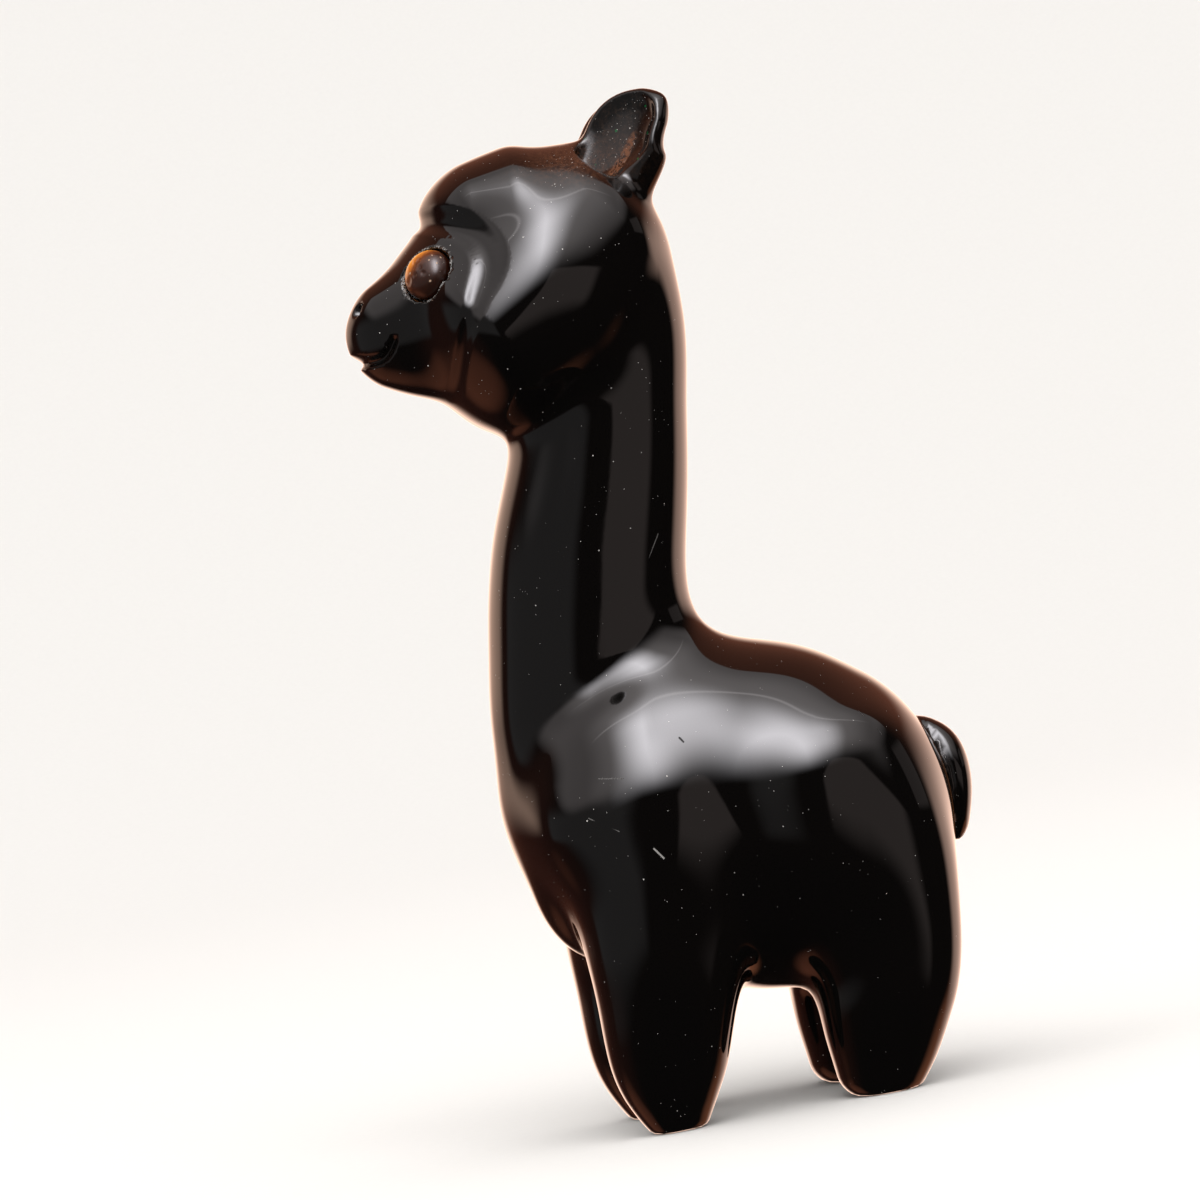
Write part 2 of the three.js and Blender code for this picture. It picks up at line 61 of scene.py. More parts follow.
# %% Tools and units
import math
import bpy
import numpy as np
from mathutils import Matrix, Vector

MM = 0.001


def smooth_step(value, low, high):
    """Nought below low, one above high, and the cubic 3s^2 - 2s^3 of the share s in between."""
    share = np.clip((value - low) / (high - low), 0, 1)
    return share * share * (3 - 2 * share)


def rolled(level, upright, angle):
    """Two directions at right angles, rolled by an angle: each gets its cosine and the other's sine."""
    c, s = math.cos(angle), math.sin(angle)
    return c * level + s * upright, c * upright - s * level


def new_object(name, data):
    """An object with the given data, put in the scene."""
    made = bpy.data.objects.new(name, data)
    bpy.context.scene.collection.objects.link(made)
    return made


# %% [markdown]
# ## Camera
# The photographer looked at the llama's left side, seven degrees round towards its face, and the llama
# leans 10 degrees in the picture. It stands upright here, so the camera leans instead. The camera is 486 mm
# away, as far as the figure's perspective says, and sees a field 124 mm wide.

# %% Camera
CAMERA_AZIMUTH = math.radians(-7.0)
CAMERA_ROLL = math.radians(10.0)
CAMERA_DISTANCE = 486 * MM
CAMERA_TARGET = Vector((-6.9, 0.0, 54.3)) * MM
FIELD_WIDTH = 124 * MM
SENSOR_WIDTH = 36.0

back = Vector((math.sin(CAMERA_AZIMUTH), -math.cos(CAMERA_AZIMUTH), 0.0))
right = Vector((math.cos(CAMERA_AZIMUTH), math.sin(CAMERA_AZIMUTH), 0.0))
up = back.cross(right)
leaning_right, leaning_up = rolled(right, up, -CAMERA_ROLL)

camera_data = bpy.data.cameras.new("camera")
camera_data.sensor_width = SENSOR_WIDTH
camera_data.lens = SENSOR_WIDTH * CAMERA_DISTANCE / FIELD_WIDTH
camera_data.clip_start = 0.02
camera_data.clip_end = 20.0
camera = new_object("camera", camera_data)
camera_turn = Matrix((leaning_right, leaning_up, back)).transposed().to_4x4()
camera.matrix_world = Matrix.Translation(CAMERA_TARGET + back * CAMERA_DISTANCE) @ camera_turn
bpy.context.scene.camera = camera
print(f"lens {camera_data.lens:.1f} mm")

# %% [markdown]
# ## Limbs
# A carver sees the animal as swelling masses along a few lines: a trunk, a neck, a crown, a jaw. Each is kept
# as stations along a curve, with the half sizes of the rounded section there. Between stations run natural
# cubic splines. Instead of a skin, each limb gives a field: how far any point is from its surface, less than
# zero inside. Fields can be melted together with a soft fillet, which is just what a grinding wheel leaves.

# %% Splines and limbs
SAMPLES = 32
NEWTON_STEPS = 3
REACH = 16.0


def natural_bends(rows):
    """Second changes of the natural cubic spline: at each inner row, its neighbours' bends and four times its
    own add up to six times the kink in the values, and both ends have none."""
    inner = np.arange(1, len(rows) - 1)
    system = np.eye(len(rows))
    system[inner, inner - 1] = 1
    system[inner, inner] = 4
    system[inner, inner + 1] = 1
    kinks = np.zeros_like(rows)
    kinks[inner] = 6 * (rows[inner - 1] - 2 * rows[inner] + rows[inner + 1])
    return np.linalg.solve(system, kinks)


class Spline:
    """A smooth curve through rows of numbers, with row i at t = i."""

    def __init__(self, rows):
        self.rows = np.array(rows, float)
        self.bends = natural_bends(self.rows)
        self.last = len(rows) - 1

    def at(self, t):
        """Value, first and second change: the straight line between two rows, plus each end's bend times a
        sixth of the cube of its share less the share."""
        row = np.clip(np.floor(t).astype(int), 0, self.last - 1)
        s = (t - row)[:, None]
        r = 1 - s
        a, b = self.rows[row], self.rows[row + 1]
        bend_a, bend_b = self.bends[row], self.bends[row + 1]
        value = r * a + s * b + ((r**3 - r) * bend_a + (s**3 - s) * bend_b) / 6
        slope = b - a + ((1 - 3 * r**2) * bend_a + (3 * s**2 - 1) * bend_b) / 6
        return value, slope, r * bend_a + s * bend_b


def one_per_row(a, b):
    """The dot product of each row of a with the same row of b."""
    return np.einsum("ij,ij->i", a, b)


def lengths(rows):
    """The length of each row."""
    return np.sqrt(one_per_row(rows, rows))


class Limb:
    """A rounded section carried along a curve. Stations are x, y, z, deep and wide in millimetres. A section
    is a superellipse of the given power, and a cap of the given length closes each end."""

    def __init__(self, stations, power, caps, turn=0.0):
        self.spline = Spline(stations)
        self.power, self.caps, self.turn = power, caps, turn
        self.t = np.linspace(0, self.spline.last, SAMPLES)
        values = self.spline.at(self.t)[0]
        self.points = values[:, :3]
        largest = max(values[:, 3:].max(), *caps)
        self.low = self.points.min(0) - largest
        self.high = self.points.max(0) + largest

    def distance(self, points):
        """The section's field near the limb's box, and the distance from the box plus the reach beyond it."""
        away = lengths(np.maximum(np.maximum(self.low - points, points - self.high), 0))
        field = away + REACH
        near = away < REACH
        if near.any():
            field[near] = self.near_distance(points[near])
        return field

    def nearest(self, points):
        """The t of the nearest sample, then Newton's steps to the foot of the normal."""
        spread = (self.points**2).sum(1) - 2 * points @ self.points.T
        t = self.t[spread.argmin(1)]
        for _ in range(NEWTON_STEPS):
            value, slope, curve = self.spline.at(t)
            gap = value[:, :3] - points
            speed = one_per_row(slope[:, :3], slope[:, :3])
            turning = one_per_row(gap, curve[:, :3])
            step = one_per_row(gap, slope[:, :3]) / np.maximum(speed + turning, 0.4 * speed)
            t = np.clip(t - step, 0, self.spline.last)
        return t

    def near_distance(self, points):
        """With the point's parts along the section's depth, its width and the curve, each as a share of the
        section's size there, the level is the power mean of the shares. The field is the level less one,
        over the level's slope."""
        value, slope, _ = self.spline.at(self.nearest(points))
        pace = lengths(slope[:, :3])
        axis = slope[:, :3] / pace[:, None]
        depthwise = np.stack([-axis[:, 2], np.zeros(len(points)), axis[:, 0]], 1)
        depthwise /= lengths(depthwise)[:, None]
        depthwise, widthwise = rolled(depthwise, np.cross(depthwise, axis), -self.turn)
        offset = points - value[:, :3]
        beyond = one_per_row(offset, axis)
        cap = np.where(beyond < 0, self.caps[0], self.caps[1])
        past = np.clip(beyond, -cap, cap) / pace
        half = 0.5 * value[:, 3:]
        deep, wide = (value[:, 3:] + np.clip(slope[:, 3:] * past[:, None], -half, half)).T
        parts = np.stack([one_per_row(offset, depthwise), one_per_row(offset, widthwise), beyond])
        sizes = np.stack([deep, wide, cap])
        shares = np.abs(parts) / sizes
        level = np.maximum((shares**self.power).sum(0), 1e-12) ** (1 / self.power)
        steep = np.sqrt(((shares ** (self.power - 1) / sizes) ** 2).sum(0)) / level ** (self.power - 1)
        return (level - 1) / np.maximum(steep, 1e-3)


def blend(a, b, radius):
    """The lesser of two fields, less a sixth of the radius times the cube of how near they are."""
    near = np.maximum(radius - np.abs(a - b), 0) / radius
    return np.minimum(a, b) - near**3 * radius / 6


def carve(a, b, radius):
    """The first form without the second, with the edge rounded over."""
    return -blend(-a, b, radius)


# %% [markdown]
# ## Furrows
# The bare face is parted from the wool by a furrow that was cut with the rim of a small wheel. It is a curve
# in the side view with a depth and a width, and it presses the surface in, deepest on its own line.

# %% Furrows
class Furrow:
    """Rows are x, z, depth and width. The push is the depth times the square of one less the squared share of
    the width, at the nearest point of the curve in the side view."""

    def __init__(self, rows):
        spline = Spline(rows)
        self.samples = spline.at(np.linspace(0, spline.last, SAMPLES))[0]

    def depth(self, points):
        side = points[:, [0, 2]]
        nearest = np.full(len(points), np.inf)
        push = np.zeros(len(points))
        for a, b in zip(self.samples[:-1], self.samples[1:]):
            along = b[:2] - a[:2]
            share = np.clip((side - a[:2]) @ along / (along @ along), 0, 1)
            away = lengths(side - a[:2] - share[:, None] * along)
            closer = away < nearest
            nearest[closer] = away[closer]
            depth, width = a[2] + share * (b[2] - a[2]), a[3] + share * (b[3] - a[3])
            value = depth * np.maximum(1 - (away / width) ** 2, 0) ** 2
            push[closer] = value[closer]
        return push


# %% [markdown]
# ## The llama's stations
# These are the carving's own measures, in millimetres, with the ground at z = 0 and the nose towards -x. Only
# one of each pair is listed, because the figure is even left and right.

# %% Stations of the body
trunk = Limb(
    [(-7.2, 0, 34.2, 14.6, 15.2), (2.0, 0, 31.0, 17.4, 16.1), (9.0, 0, 28.8, 17.8, 16.3),
     (14.6, 0, 27.2, 16.1, 15.6)], 2.25, (12.2, 11.3))
neck = Limb(
    [(-10.2, 0, 26.0, 8.0, 6.4), (-10.4, 0, 34.0, 9.0, 8.0), (-9.6, 0, 42.0, 9.9, 8.8),
     (-8.3, 0, 50.0, 10.1, 9.0), (-6.6, 0, 58.5, 10.0, 8.9), (-4.3, 0, 66.5, 9.4, 8.8),
     (-2.5, 0, 74.5, 8.9, 8.6), (-1.2, 0, 82.0, 8.7, 8.8), (-0.9, 0, 88.5, 8.0, 8.6)], 2.4, (8.5, 6.5))
front_leg = Limb(
    [(-8.0, 8.0, 31.5, 8.6, 7.2), (-6.8, 8.8, 25.0, 8.3, 7.2), (-6.9, 9.0, 18.0, 7.9, 6.9),
     (-7.7, 8.8, 12.0, 6.9, 6.3), (-8.4, 8.5, 6.6, 5.9, 5.4), (-8.5, 8.3, 3.0, 4.5, 4.5),
     (-8.4, 8.2, 0.8, 3.3, 3.5)], 2.6, (5.5, 1.9))
hind_leg = Limb(
    [(12.6, 8.6, 33.0, 8.4, 7.6), (14.8, 8.9, 23.5, 8.9, 7.6), (15.3, 8.9, 14.2, 7.9, 6.9),
     (14.5, 8.8, 9.0, 6.9, 6.4), (13.5, 8.6, 4.6, 5.7, 5.4), (12.5, 8.4, 1.0, 4.2, 4.4)], 2.5, (6.0, 2.0))
tail = Limb(
    [(25.0, 0, 35.4, 1.3, 2.2), (26.5, 0, 33.0, 2.0, 3.4), (27.0, 0, 29.2, 1.9, 3.8),
     (26.6, 0, 25.6, 1.5, 3.1)], 2.2, (1.6, 2.4))

# %% Stations of the head
EAR_TURN = 0.75
crown = Limb(
    [(-10.5, 0, 91.4, 8.6, 8.8), (-7.0, 0, 91.4, 9.8, 9.8), (-3.0, 0, 90.7, 10.8, 9.6),
     (0.6, 0, 90.1, 10.4, 9.0)], 2.0, (7.0, 4.6))
forelock = Limb([(-9.0, 0, 95.3, 6.4, 9.0), (-13.0, 0, 95.6, 5.3, 8.2)], 2.0, (4.0, 4.8))
throat = Limb([(-5.0, 0, 84.6, 9.0, 10.2), (-12.2, 0, 82.4, 9.3, 10.4)], 2.2, (4.5, 7.0))
cheek = Limb(
    [(-0.4, 2.0, 91.4, 7.2, 8.7), (-6.6, 3.2, 86.9, 9.2, 10.3), (-12.8, 3.4, 82.6, 8.6, 10.6)],
    2.1, (4.4, 4.6))
muzzle = Limb(
    [(-11.6, 0, 86.8, 9.5, 10.4), (-16.2, 0, 85.7, 9.1, 9.0), (-20.4, 0, 85.0, 7.3, 7.0),
     (-24.2, 0, 84.85, 5.2, 4.8)], 2.2, (3.0, 3.1))
ear = Limb(
    [(1.8, 4.0, 94.8, 4.0, 2.5), (3.2, 4.7, 98.0, 5.0, 2.4), (4.9, 5.7, 101.1, 5.0, 2.1),
     (7.2, 6.8, 103.0, 2.9, 1.5)], 2.1, (2.0, 1.7), EAR_TURN)
ear_hollow = Limb(
    [(-0.3, 5.2, 98.4, 2.2, 1.2), (1.7, 6.2, 99.9, 4.0, 1.7), (4.0, 7.1, 101.9, 4.3, 1.7),
     (6.2, 7.9, 103.2, 2.4, 1.0)], 2.0, (2.0, 1.0), EAR_TURN)
nostril = Limb([(-27.4, 1.9, 88.4, 0.8, 0.6), (-25.2, 2.3, 87.6, 0.7, 0.5)], 2.0, (0.6, 0.6))
face_furrow = Furrow(
    [(-17.8, 95.6, 0.4, 1.6), (-15.6, 94.8, 0.5, 1.9), (-13.9, 93.4, 0.5, 2.1), (-12.7, 91.6, 0.5, 2.2),
     (-12.9, 89.2, 0.5, 2.0), (-14.3, 86.8, 0.45, 1.6), (-15.8, 84.0, 0.3, 1.1), (-16.9, 80.8, 0.2, 0.9),
     (-17.6, 77.6, 0.1, 0.9)])
mouth = Furrow(
    [(-27.6, 82.9, 0.6, 0.8), (-25.6, 82.4, 0.8, 0.8), (-24.0, 82.6, 0.8, 0.7), (-22.9, 84.0, 0.5, 0.6)])

# %% [markdown]
# ## One field for the whole figure
# The limbs are melted together in the order in which a carver finds them. Where the neck meets the back its
# fillet is much wider than on the chest. Hand polishing leaves the big faces a little wavy: a few long, low
# waves do that, and they bend every reflection as the real ones are bent.

# %% The figure's field
HEAD_FROM = 68.0
CHEST_FILLET, BACK_FILLET = 3.0, 14.0
CHEST_END, BACK_START = -10.0, 5.0
BELLY_FILLET, THIGH_FILLET, TAIL_FILLET = 3, 6, 1
HEAD_FILLETS = ((throat, 5.5), (cheek, 8.0), (forelock, 4.0), (muzzle, 2.6))
NAPE_FILLET, EAR_FILLET = 3.5, 2.2
EAR_EDGE, NOSTRIL_EDGE = 0.8, 0.4
WAVES = 9
WAVE_LENGTHS = (7, 18)
WAVE_HEIGHT = 0.02
wave_random = np.random.default_rng(11)
wave_ways = wave_random.normal(size=(WAVES, 3))
wave_ways /= np.linalg.norm(wave_ways, axis=1)[:, None]
wave_ways *= (2 * math.pi / wave_random.uniform(*WAVE_LENGTHS, WAVES))[:, None]
wave_starts = wave_random.uniform(0, 2 * math.pi, WAVES)


def polish_waves(points):
    """The sum of sine waves, each along its own direction, over the square root of their number, times the
    wave height."""
    return WAVE_HEIGHT * np.sin(points @ wave_ways.T + wave_starts).sum(1) / math.sqrt(WAVES)


def figure(points):
    """The limbs blended together, with furrows pressed in and hollows carved out."""
    shoulder = CHEST_FILLET + (BACK_FILLET - CHEST_FILLET) * smooth_step(points[:, 0], CHEST_END, BACK_START)
    form = blend(trunk.distance(points), neck.distance(points), shoulder)
    legs = blend(front_leg.distance(points), hind_leg.distance(points), BELLY_FILLET)
    form = blend(form, legs, THIGH_FILLET)
    form = blend(form, tail.distance(points), TAIL_FILLET)
    high = points[:, 2] > HEAD_FROM
    if high.any():
        some = points[high]
        head = crown.distance(some)
        for limb, fillet in HEAD_FILLETS:
            head = blend(head, limb.distance(some), fillet)
        head += face_furrow.depth(some) + mouth.depth(some)
        top = blend(form[high], head, NAPE_FILLET)
        top = blend(top, ear.distance(some), EAR_FILLET)
        top = carve(top, ear_hollow.distance(some), EAR_EDGE)
        form[high] = carve(top, nostril.distance(some), NOSTRIL_EDGE)
    return form + polish_waves(points)


# %% [markdown]
# ## Eye sockets
# Each bead sits in a hole drilled straight into the side of the face. Volcanic glass chips where a drill
# breaks through, so a crust of tiny shell-shaped flakes runs round the rim. Small balls bite them out.

# %% Eye sockets
EYE_FORWARD, EYE_HEIGHT = -18.75, 90.0
BEAD_ACROSS, BEAD_THICK, BEAD_PROUD = 5.2, 3.8, 1.4
SOCKET_GAP = 0.3
HOLE_RADIUS = BEAD_ACROSS / 2 + SOCKET_GAP
EYE_REACH = 5.5
SOCKET_EDGE, CHIP_EDGE, SOLE_EDGE = 0.25, 0.06, 0.7
CHIPS = 54
TETRAHEDRON = np.array([(1, -1, -1), (-1, -1, 1), (-1, 1, -1), (1, 1, 1)], float)
PROBE = 0.02


def in_parts(field, points, size=120000):
    """The field's values, worked out for some points at a time to keep the arrays small."""
    return np.concatenate([field(points[at:at + size]) for at in range(0, len(points), size)])


def slope_of(field, points):
    """The mean of four values round each point, and the gradient that their differences give."""
    values = [in_parts(field, points + PROBE * corner) for corner in TETRAHEDRON]
    gradient = sum(value[:, None] * corner for value, corner in zip(values, TETRAHEDRON)) / (4 * PROBE)
    return sum(values) / 4, gradient


def eye_seat():
    """The point of the right cheek at the eye's place in the side view, found by halving, and its normal."""
    inner, outer = 0.0, 16.0
    for _ in range(40):
        middle = (inner + outer) / 2
        inside = figure(np.array([[EYE_FORWARD, middle, EYE_HEIGHT]]))[0] < 0
        inner, outer = (middle, outer) if inside else (inner, middle)
    point = np.array([EYE_FORWARD, inner, EYE_HEIGHT])
    normal = slope_of(figure, point[None])[1][0]
    return point, normal / np.linalg.norm(normal)


seat, outward = eye_seat()
seat_up = np.array([0.0, 0.0, 1.0]) - outward[2] * outward
seat_up /= np.linalg.norm(seat_up)
seat_forward = np.cross(seat_up, outward)
chip_random = np.random.default_rng(5)
chip_angle = chip_random.uniform(0, 2 * math.pi, CHIPS)[:, None]
chip_radius = HOLE_RADIUS + chip_random.uniform(-0.05, 0.35, CHIPS)[:, None]
chip_size = chip_random.uniform(0.18, 0.42, CHIPS)
chip_way = np.cos(chip_angle) * seat_forward + np.sin(chip_angle) * seat_up
chip_centre = seat + 0.05 * outward + chip_radius * chip_way
print("eye seat", seat.round(2), "looking", outward.round(2))


def from_seat(points):
    """How far out each point is along the hole's axis, and how far it is from that axis."""
    offset = points - seat
    depth = offset @ outward
    return depth, np.sqrt(np.maximum(one_per_row(offset, offset) - depth**2, 0))


def socket(points):
    """The drilled hole's field: the greater of the distance from its wall and from its floor."""
    depth, across = from_seat(points)
    return np.maximum(across - HOLE_RADIUS, -(BEAD_THICK - BEAD_PROUD + SOCKET_GAP) - depth)


def chips(points):
    """The field of all the chips: the least distance from any of their balls."""
    apart = points[:, None, :] - chip_centre[None]
    return (np.sqrt((apart**2).sum(2)) - chip_size).min(1)


def stone(points):
    """The figure's field on one side, with the socket drilled, the rim chipped and the soles ground flat."""
    points = np.column_stack([points[:, 0], np.abs(points[:, 1]), points[:, 2]])
    form = figure(points)
    near_eye = np.abs(points - seat).max(1) < EYE_REACH
    if near_eye.any():
        some = points[near_eye]
        drilled = carve(form[near_eye], socket(some), SOCKET_EDGE)
        form[near_eye] = carve(drilled, chips(some), CHIP_EDGE)
    return carve(form, points[:, 2], SOLE_EDGE)


# %% [markdown]
# ## From field to skin
# A lattice of points finds the surface: every cell that it passes through gets one vertex, and every lattice
# edge that it crosses gets a quad. This is the surface-nets method. Newton's steps then pull each vertex onto
# the true surface. The cells are finer on the head, where the carving is, than on the plain body, and only
# one half is worked out and mirrored. The field is tried in blocks first, to skip most of the empty space.

# %% The lattice
BODY_CELL, HEAD_CELL = 0.66, 0.29
BODY_TOP, HEAD_BOTTOM = 60.0, 74.0
BODY_MIDDLE, HEAD_MIDDLE = 0.8, -9.2
HEAD_HALF_LENGTH, HEAD_HALF_WIDTH = 20.5, 15.4
LATTICE_BOTTOM, LATTICE_TOP = -2.2 * BODY_CELL, 106
BLOCK = 4
BLOCK_REACH = 1.7


def cell_at(z):
    """The size of a cell at a height: the body's below the neck, the head's above it."""
    return BODY_CELL + (HEAD_CELL - BODY_CELL) * smooth_step(z, BODY_TOP, HEAD_BOTTOM)


def lattice_levels():
    """Heights a cell apart, from below the soles to above the ears, a whole number of blocks."""
    levels = [LATTICE_BOTTOM]
    while levels[-1] < LATTICE_TOP or len(levels) % BLOCK:
        levels.append(levels[-1] + cell_at(levels[-1]))
    return np.array(levels)


levels = lattice_levels()
columns = BLOCK * math.ceil(2 * HEAD_HALF_LENGTH / HEAD_CELL / BLOCK)
rows = BLOCK * math.ceil(HEAD_HALF_WIDTH / HEAD_CELL / BLOCK)


def place(i, j, k):
    """The point at lattice numbers i, j and k, which may be fractions. Row j is half a cell more than j cells
    from the middle plane."""
    z = np.interp(k, np.arange(len(levels)), levels)
    middle = BODY_MIDDLE + (HEAD_MIDDLE - BODY_MIDDLE) * smooth_step(z, BODY_TOP, HEAD_BOTTOM)
    cell = cell_at(z)
    return np.stack([middle + (i - (columns - 1) / 2) * cell, (j + 0.5) * cell, z], 1)


def lattice_values():
    """The field at the lattice points near the surface. Elsewhere only its sign counts."""
    counts = np.array([columns, rows, len(levels)])
    coarse = np.indices(counts // BLOCK).reshape(3, -1) * BLOCK + (BLOCK - 1) / 2
    centres = place(*coarse)
    at_centres = in_parts(stone, centres)
    near = np.abs(at_centres) < BLOCK_REACH * BLOCK * cell_at(centres[:, 2])
    signs = np.where(at_centres > 0, 1e3, -1e3).reshape(counts // BLOCK)
    values = signs.repeat(BLOCK, 0).repeat(BLOCK, 1).repeat(BLOCK, 2)
    inside_block = np.indices((BLOCK,) * 3).reshape(3, -1)
    corners = (coarse[:, near] - (BLOCK - 1) / 2).astype(int)
    i, j, k = (corners[:, :, None] + inside_block[:, None, :]).reshape(3, -1)
    values[i, j, k] = in_parts(stone, place(i, j, k))
    return values


values = lattice_values()
print("lattice", values.shape, "levels from", levels[0].round(2), "to", levels[-1].round(2))


# %% Untangle the lattice
def untangle(values):
    """On each lattice face whose corners are inside and outside by turns, the surface would pass twice. The
    corner nearest to it changes sides, until no face is left like that. The first row mirrors the second."""
    changed = 1
    while changed:
        changed = 0
        for axis in range(3):
            one, two = np.eye(3, dtype=int)[[a for a in range(3) if a != axis]]
            ring = [np.zeros(3, int), one, one + two, two]
            reach = np.array(values.shape) - one - two
            around = [values[tuple(slice(a, a + n) for a, n in zip(corner, reach))] < 0 for corner in ring]
            tangled = (around[0] == around[2]) & (around[1] == around[3]) & (around[0] != around[1])
            faces = np.stack(np.nonzero(tangled), 1)
            corners = faces + np.array(ring)[:, None]
            sizes = np.abs(values[tuple(np.moveaxis(corners, -1, 0))])
            nearest = tuple(corners[sizes.argmin(0), np.arange(len(faces))].T)
            values[nearest] *= -1
            values[:, 0] = values[:, 1]
            changed += len(faces)
    return values


half_values = untangle(np.concatenate([values[:, :1], values], 1))


# %% The net
def net_of(values):
    """Surface nets over an array of values whose first row mirrors its second. Gives the mean of the
    crossings on each cell's edges, in lattice numbers, the quads, and the cells themselves."""
    inside = values < 0
    size = np.array(values.shape)
    corner_sum = sum(
        inside[a:size[0] - 1 + a, b:size[1] - 1 + b, c:size[2] - 1 + c].astype(np.int8)
        for a in (0, 1) for b in (0, 1) for c in (0, 1)
    )
    cells = np.stack(np.nonzero((corner_sum > 0) & (corner_sum < 8)), 1)
    number = np.full(size - 1, -1)
    number[tuple(cells.T)] = np.arange(len(cells))
    total = np.zeros((len(cells), 3))
    hits = np.zeros(len(cells))
    quads = []
    for axis in range(3):
        first, second = [a for a in range(3) if a != axis]
        for p, q in ((0, 0), (0, 1), (1, 0), (1, 1)):
            near = cells.copy()
            near[:, first] += p
            near[:, second] += q
            far = near + np.eye(3, dtype=int)[axis]
            near_value, far_value = values[tuple(near.T)], values[tuple(far.T)]
            crossed = (near_value < 0) != (far_value < 0)
            share = np.where(crossed, near_value / np.where(crossed, near_value - far_value, 1), 0)
            at = near.astype(float)
            at[:, axis] += share
            total += at * crossed[:, None]
            hits += crossed
        low, high = [slice(1, -1)] * 3, [slice(1, -1)] * 3
        low[axis], high[axis] = slice(0, -1), slice(1, None)
        edges = np.stack(np.nonzero(inside[tuple(low)] != inside[tuple(high)]), 1)
        edges[:, [first, second]] += 1
        one, two = np.eye(3, dtype=int)[[first, second]]
        ring = [edges, edges - one, edges - one - two, edges - two]
        quad = np.stack([number[tuple(corner.T)] for corner in ring], 1)
        outwards = inside[tuple(edges.T)] == (axis != 1)
        quad[~outwards] = quad[~outwards][:, ::-1]
        quads.append(quad)
    return total / hits[:, None], np.concatenate(quads), cells


half_numbers, half_quads, half_cells = net_of(half_values)
on_plane = half_cells[:, 1] == 0
half_points = place(half_numbers[:, 0], half_numbers[:, 1] - 1, half_numbers[:, 2])
print("half net:", len(half_points), "vertices,", len(half_quads), "quads")

# %% Settle and mirror
LONGEST_STEP = 0.3


def settle(field, points, flat):
    """Moves points onto the surface by Newton's steps along the slope. Flat ones stay on the middle plane."""
    for _ in range(NEWTON_STEPS):
        points[flat, 1] = 0
        value, gradient = slope_of(field, points)
        step = value / np.maximum(one_per_row(gradient, gradient), 0.05)
        points = points - np.clip(step, -LONGEST_STEP, LONGEST_STEP)[:, None] * gradient
    points[flat, 1] = 0
    gradient = slope_of(field, points)[1]
    gradient[flat, 1] = 0
    return points, gradient / lengths(gradient)[:, None]


half_points, half_normals = settle(stone, half_points, on_plane)
mirror = np.full(len(half_points), -1)
mirror[on_plane] = np.nonzero(on_plane)[0]
mirror[~on_plane] = len(half_points) + np.arange((~on_plane).sum())
flip = np.array([1.0, -1.0, 1.0])
stone_points = np.concatenate([half_points, half_points[~on_plane] * flip])
stone_normals = np.concatenate([half_normals, half_normals[~on_plane] * flip])
stone_quads = np.concatenate([half_quads, mirror[half_quads][:, ::-1]])
shift = -(stone_points[:, 0].min() + stone_points[:, 0].max()) / 2
moved = np.array([shift, 0, 0])
print("box", stone_points.min(0).round(2), stone_points.max(0).round(2), "moved by", round(shift, 3))


def check_closed(points, quads):
    """Counts the edges that aren't shared by two faces, and the volume, a sixth of the sum of each triangle's
    triple product."""
    ends = np.stack([quads.ravel(), np.roll(quads, -1, 1).ravel()], 1)
    edges, uses = np.unique(np.sort(ends, 1), axis=0, return_counts=True)
    p = points[quads]
    volume = sum(one_per_row(p[:, 0], np.cross(p[:, m], p[:, m + 1])).sum() for m in (1, 2)) / 6
    print("edges", len(edges), "not shared by two:", int((uses != 2).sum()), "volume", round(volume, 1))


check_closed(stone_points, stone_quads)

# %% [markdown]
# ## What the skin remembers
# The polishing wheel can't reach everywhere. Four numbers at each vertex say where, for the finish to read:
# how hollow the place is, whether it is inside an ear, whether it is in the dusty bed at an ear's foot, and
# whether it is in the chipped rim of a socket.

# %% Marks on the skin
HOLLOW_PROBE = 1.3
EAR_FADE = 0.35
DUST_BED = np.array([-1.6, 6.4, 98.6])
DUST_BED_REACH = np.array([4.6, 4.2, 2.4])
CHIPPED_RADIUS, CHIPPED_WIDTH, CHIPPED_DEPTH = HOLE_RADIUS + 0.15, 0.26, 0.5


def marks(points, normals):
    """Hollow: how far the field a little way out falls short of that way. The others fall off smoothly with
    the distance from the ear's hollow, from the middle of the bed and from the socket's rim."""
    hollow = 1 - in_parts(stone, points + HOLLOW_PROBE * normals) / HOLLOW_PROBE
    from_bed = (points - DUST_BED) / DUST_BED_REACH
    depth, across = from_seat(points)
    return {
        "hollow": np.clip(hollow, 0, 1),
        "in_ear": np.exp(-((ear_hollow.distance(points) / EAR_FADE) ** 2)),
        "dust_bed": np.exp(-one_per_row(from_bed, from_bed)),
        "chipped": np.exp(-(((across - CHIPPED_RADIUS) / CHIPPED_WIDTH) ** 2) - (depth / CHIPPED_DEPTH) ** 2),
    }


half_marks = marks(half_points, half_normals)
stone_marks = {name: np.concatenate([mark, mark[~on_plane]]) for name, mark in half_marks.items()}
for name, mark in stone_marks.items():
    print(f"{name}: mean {mark.mean():.3f}, most {mark.max():.2f}")


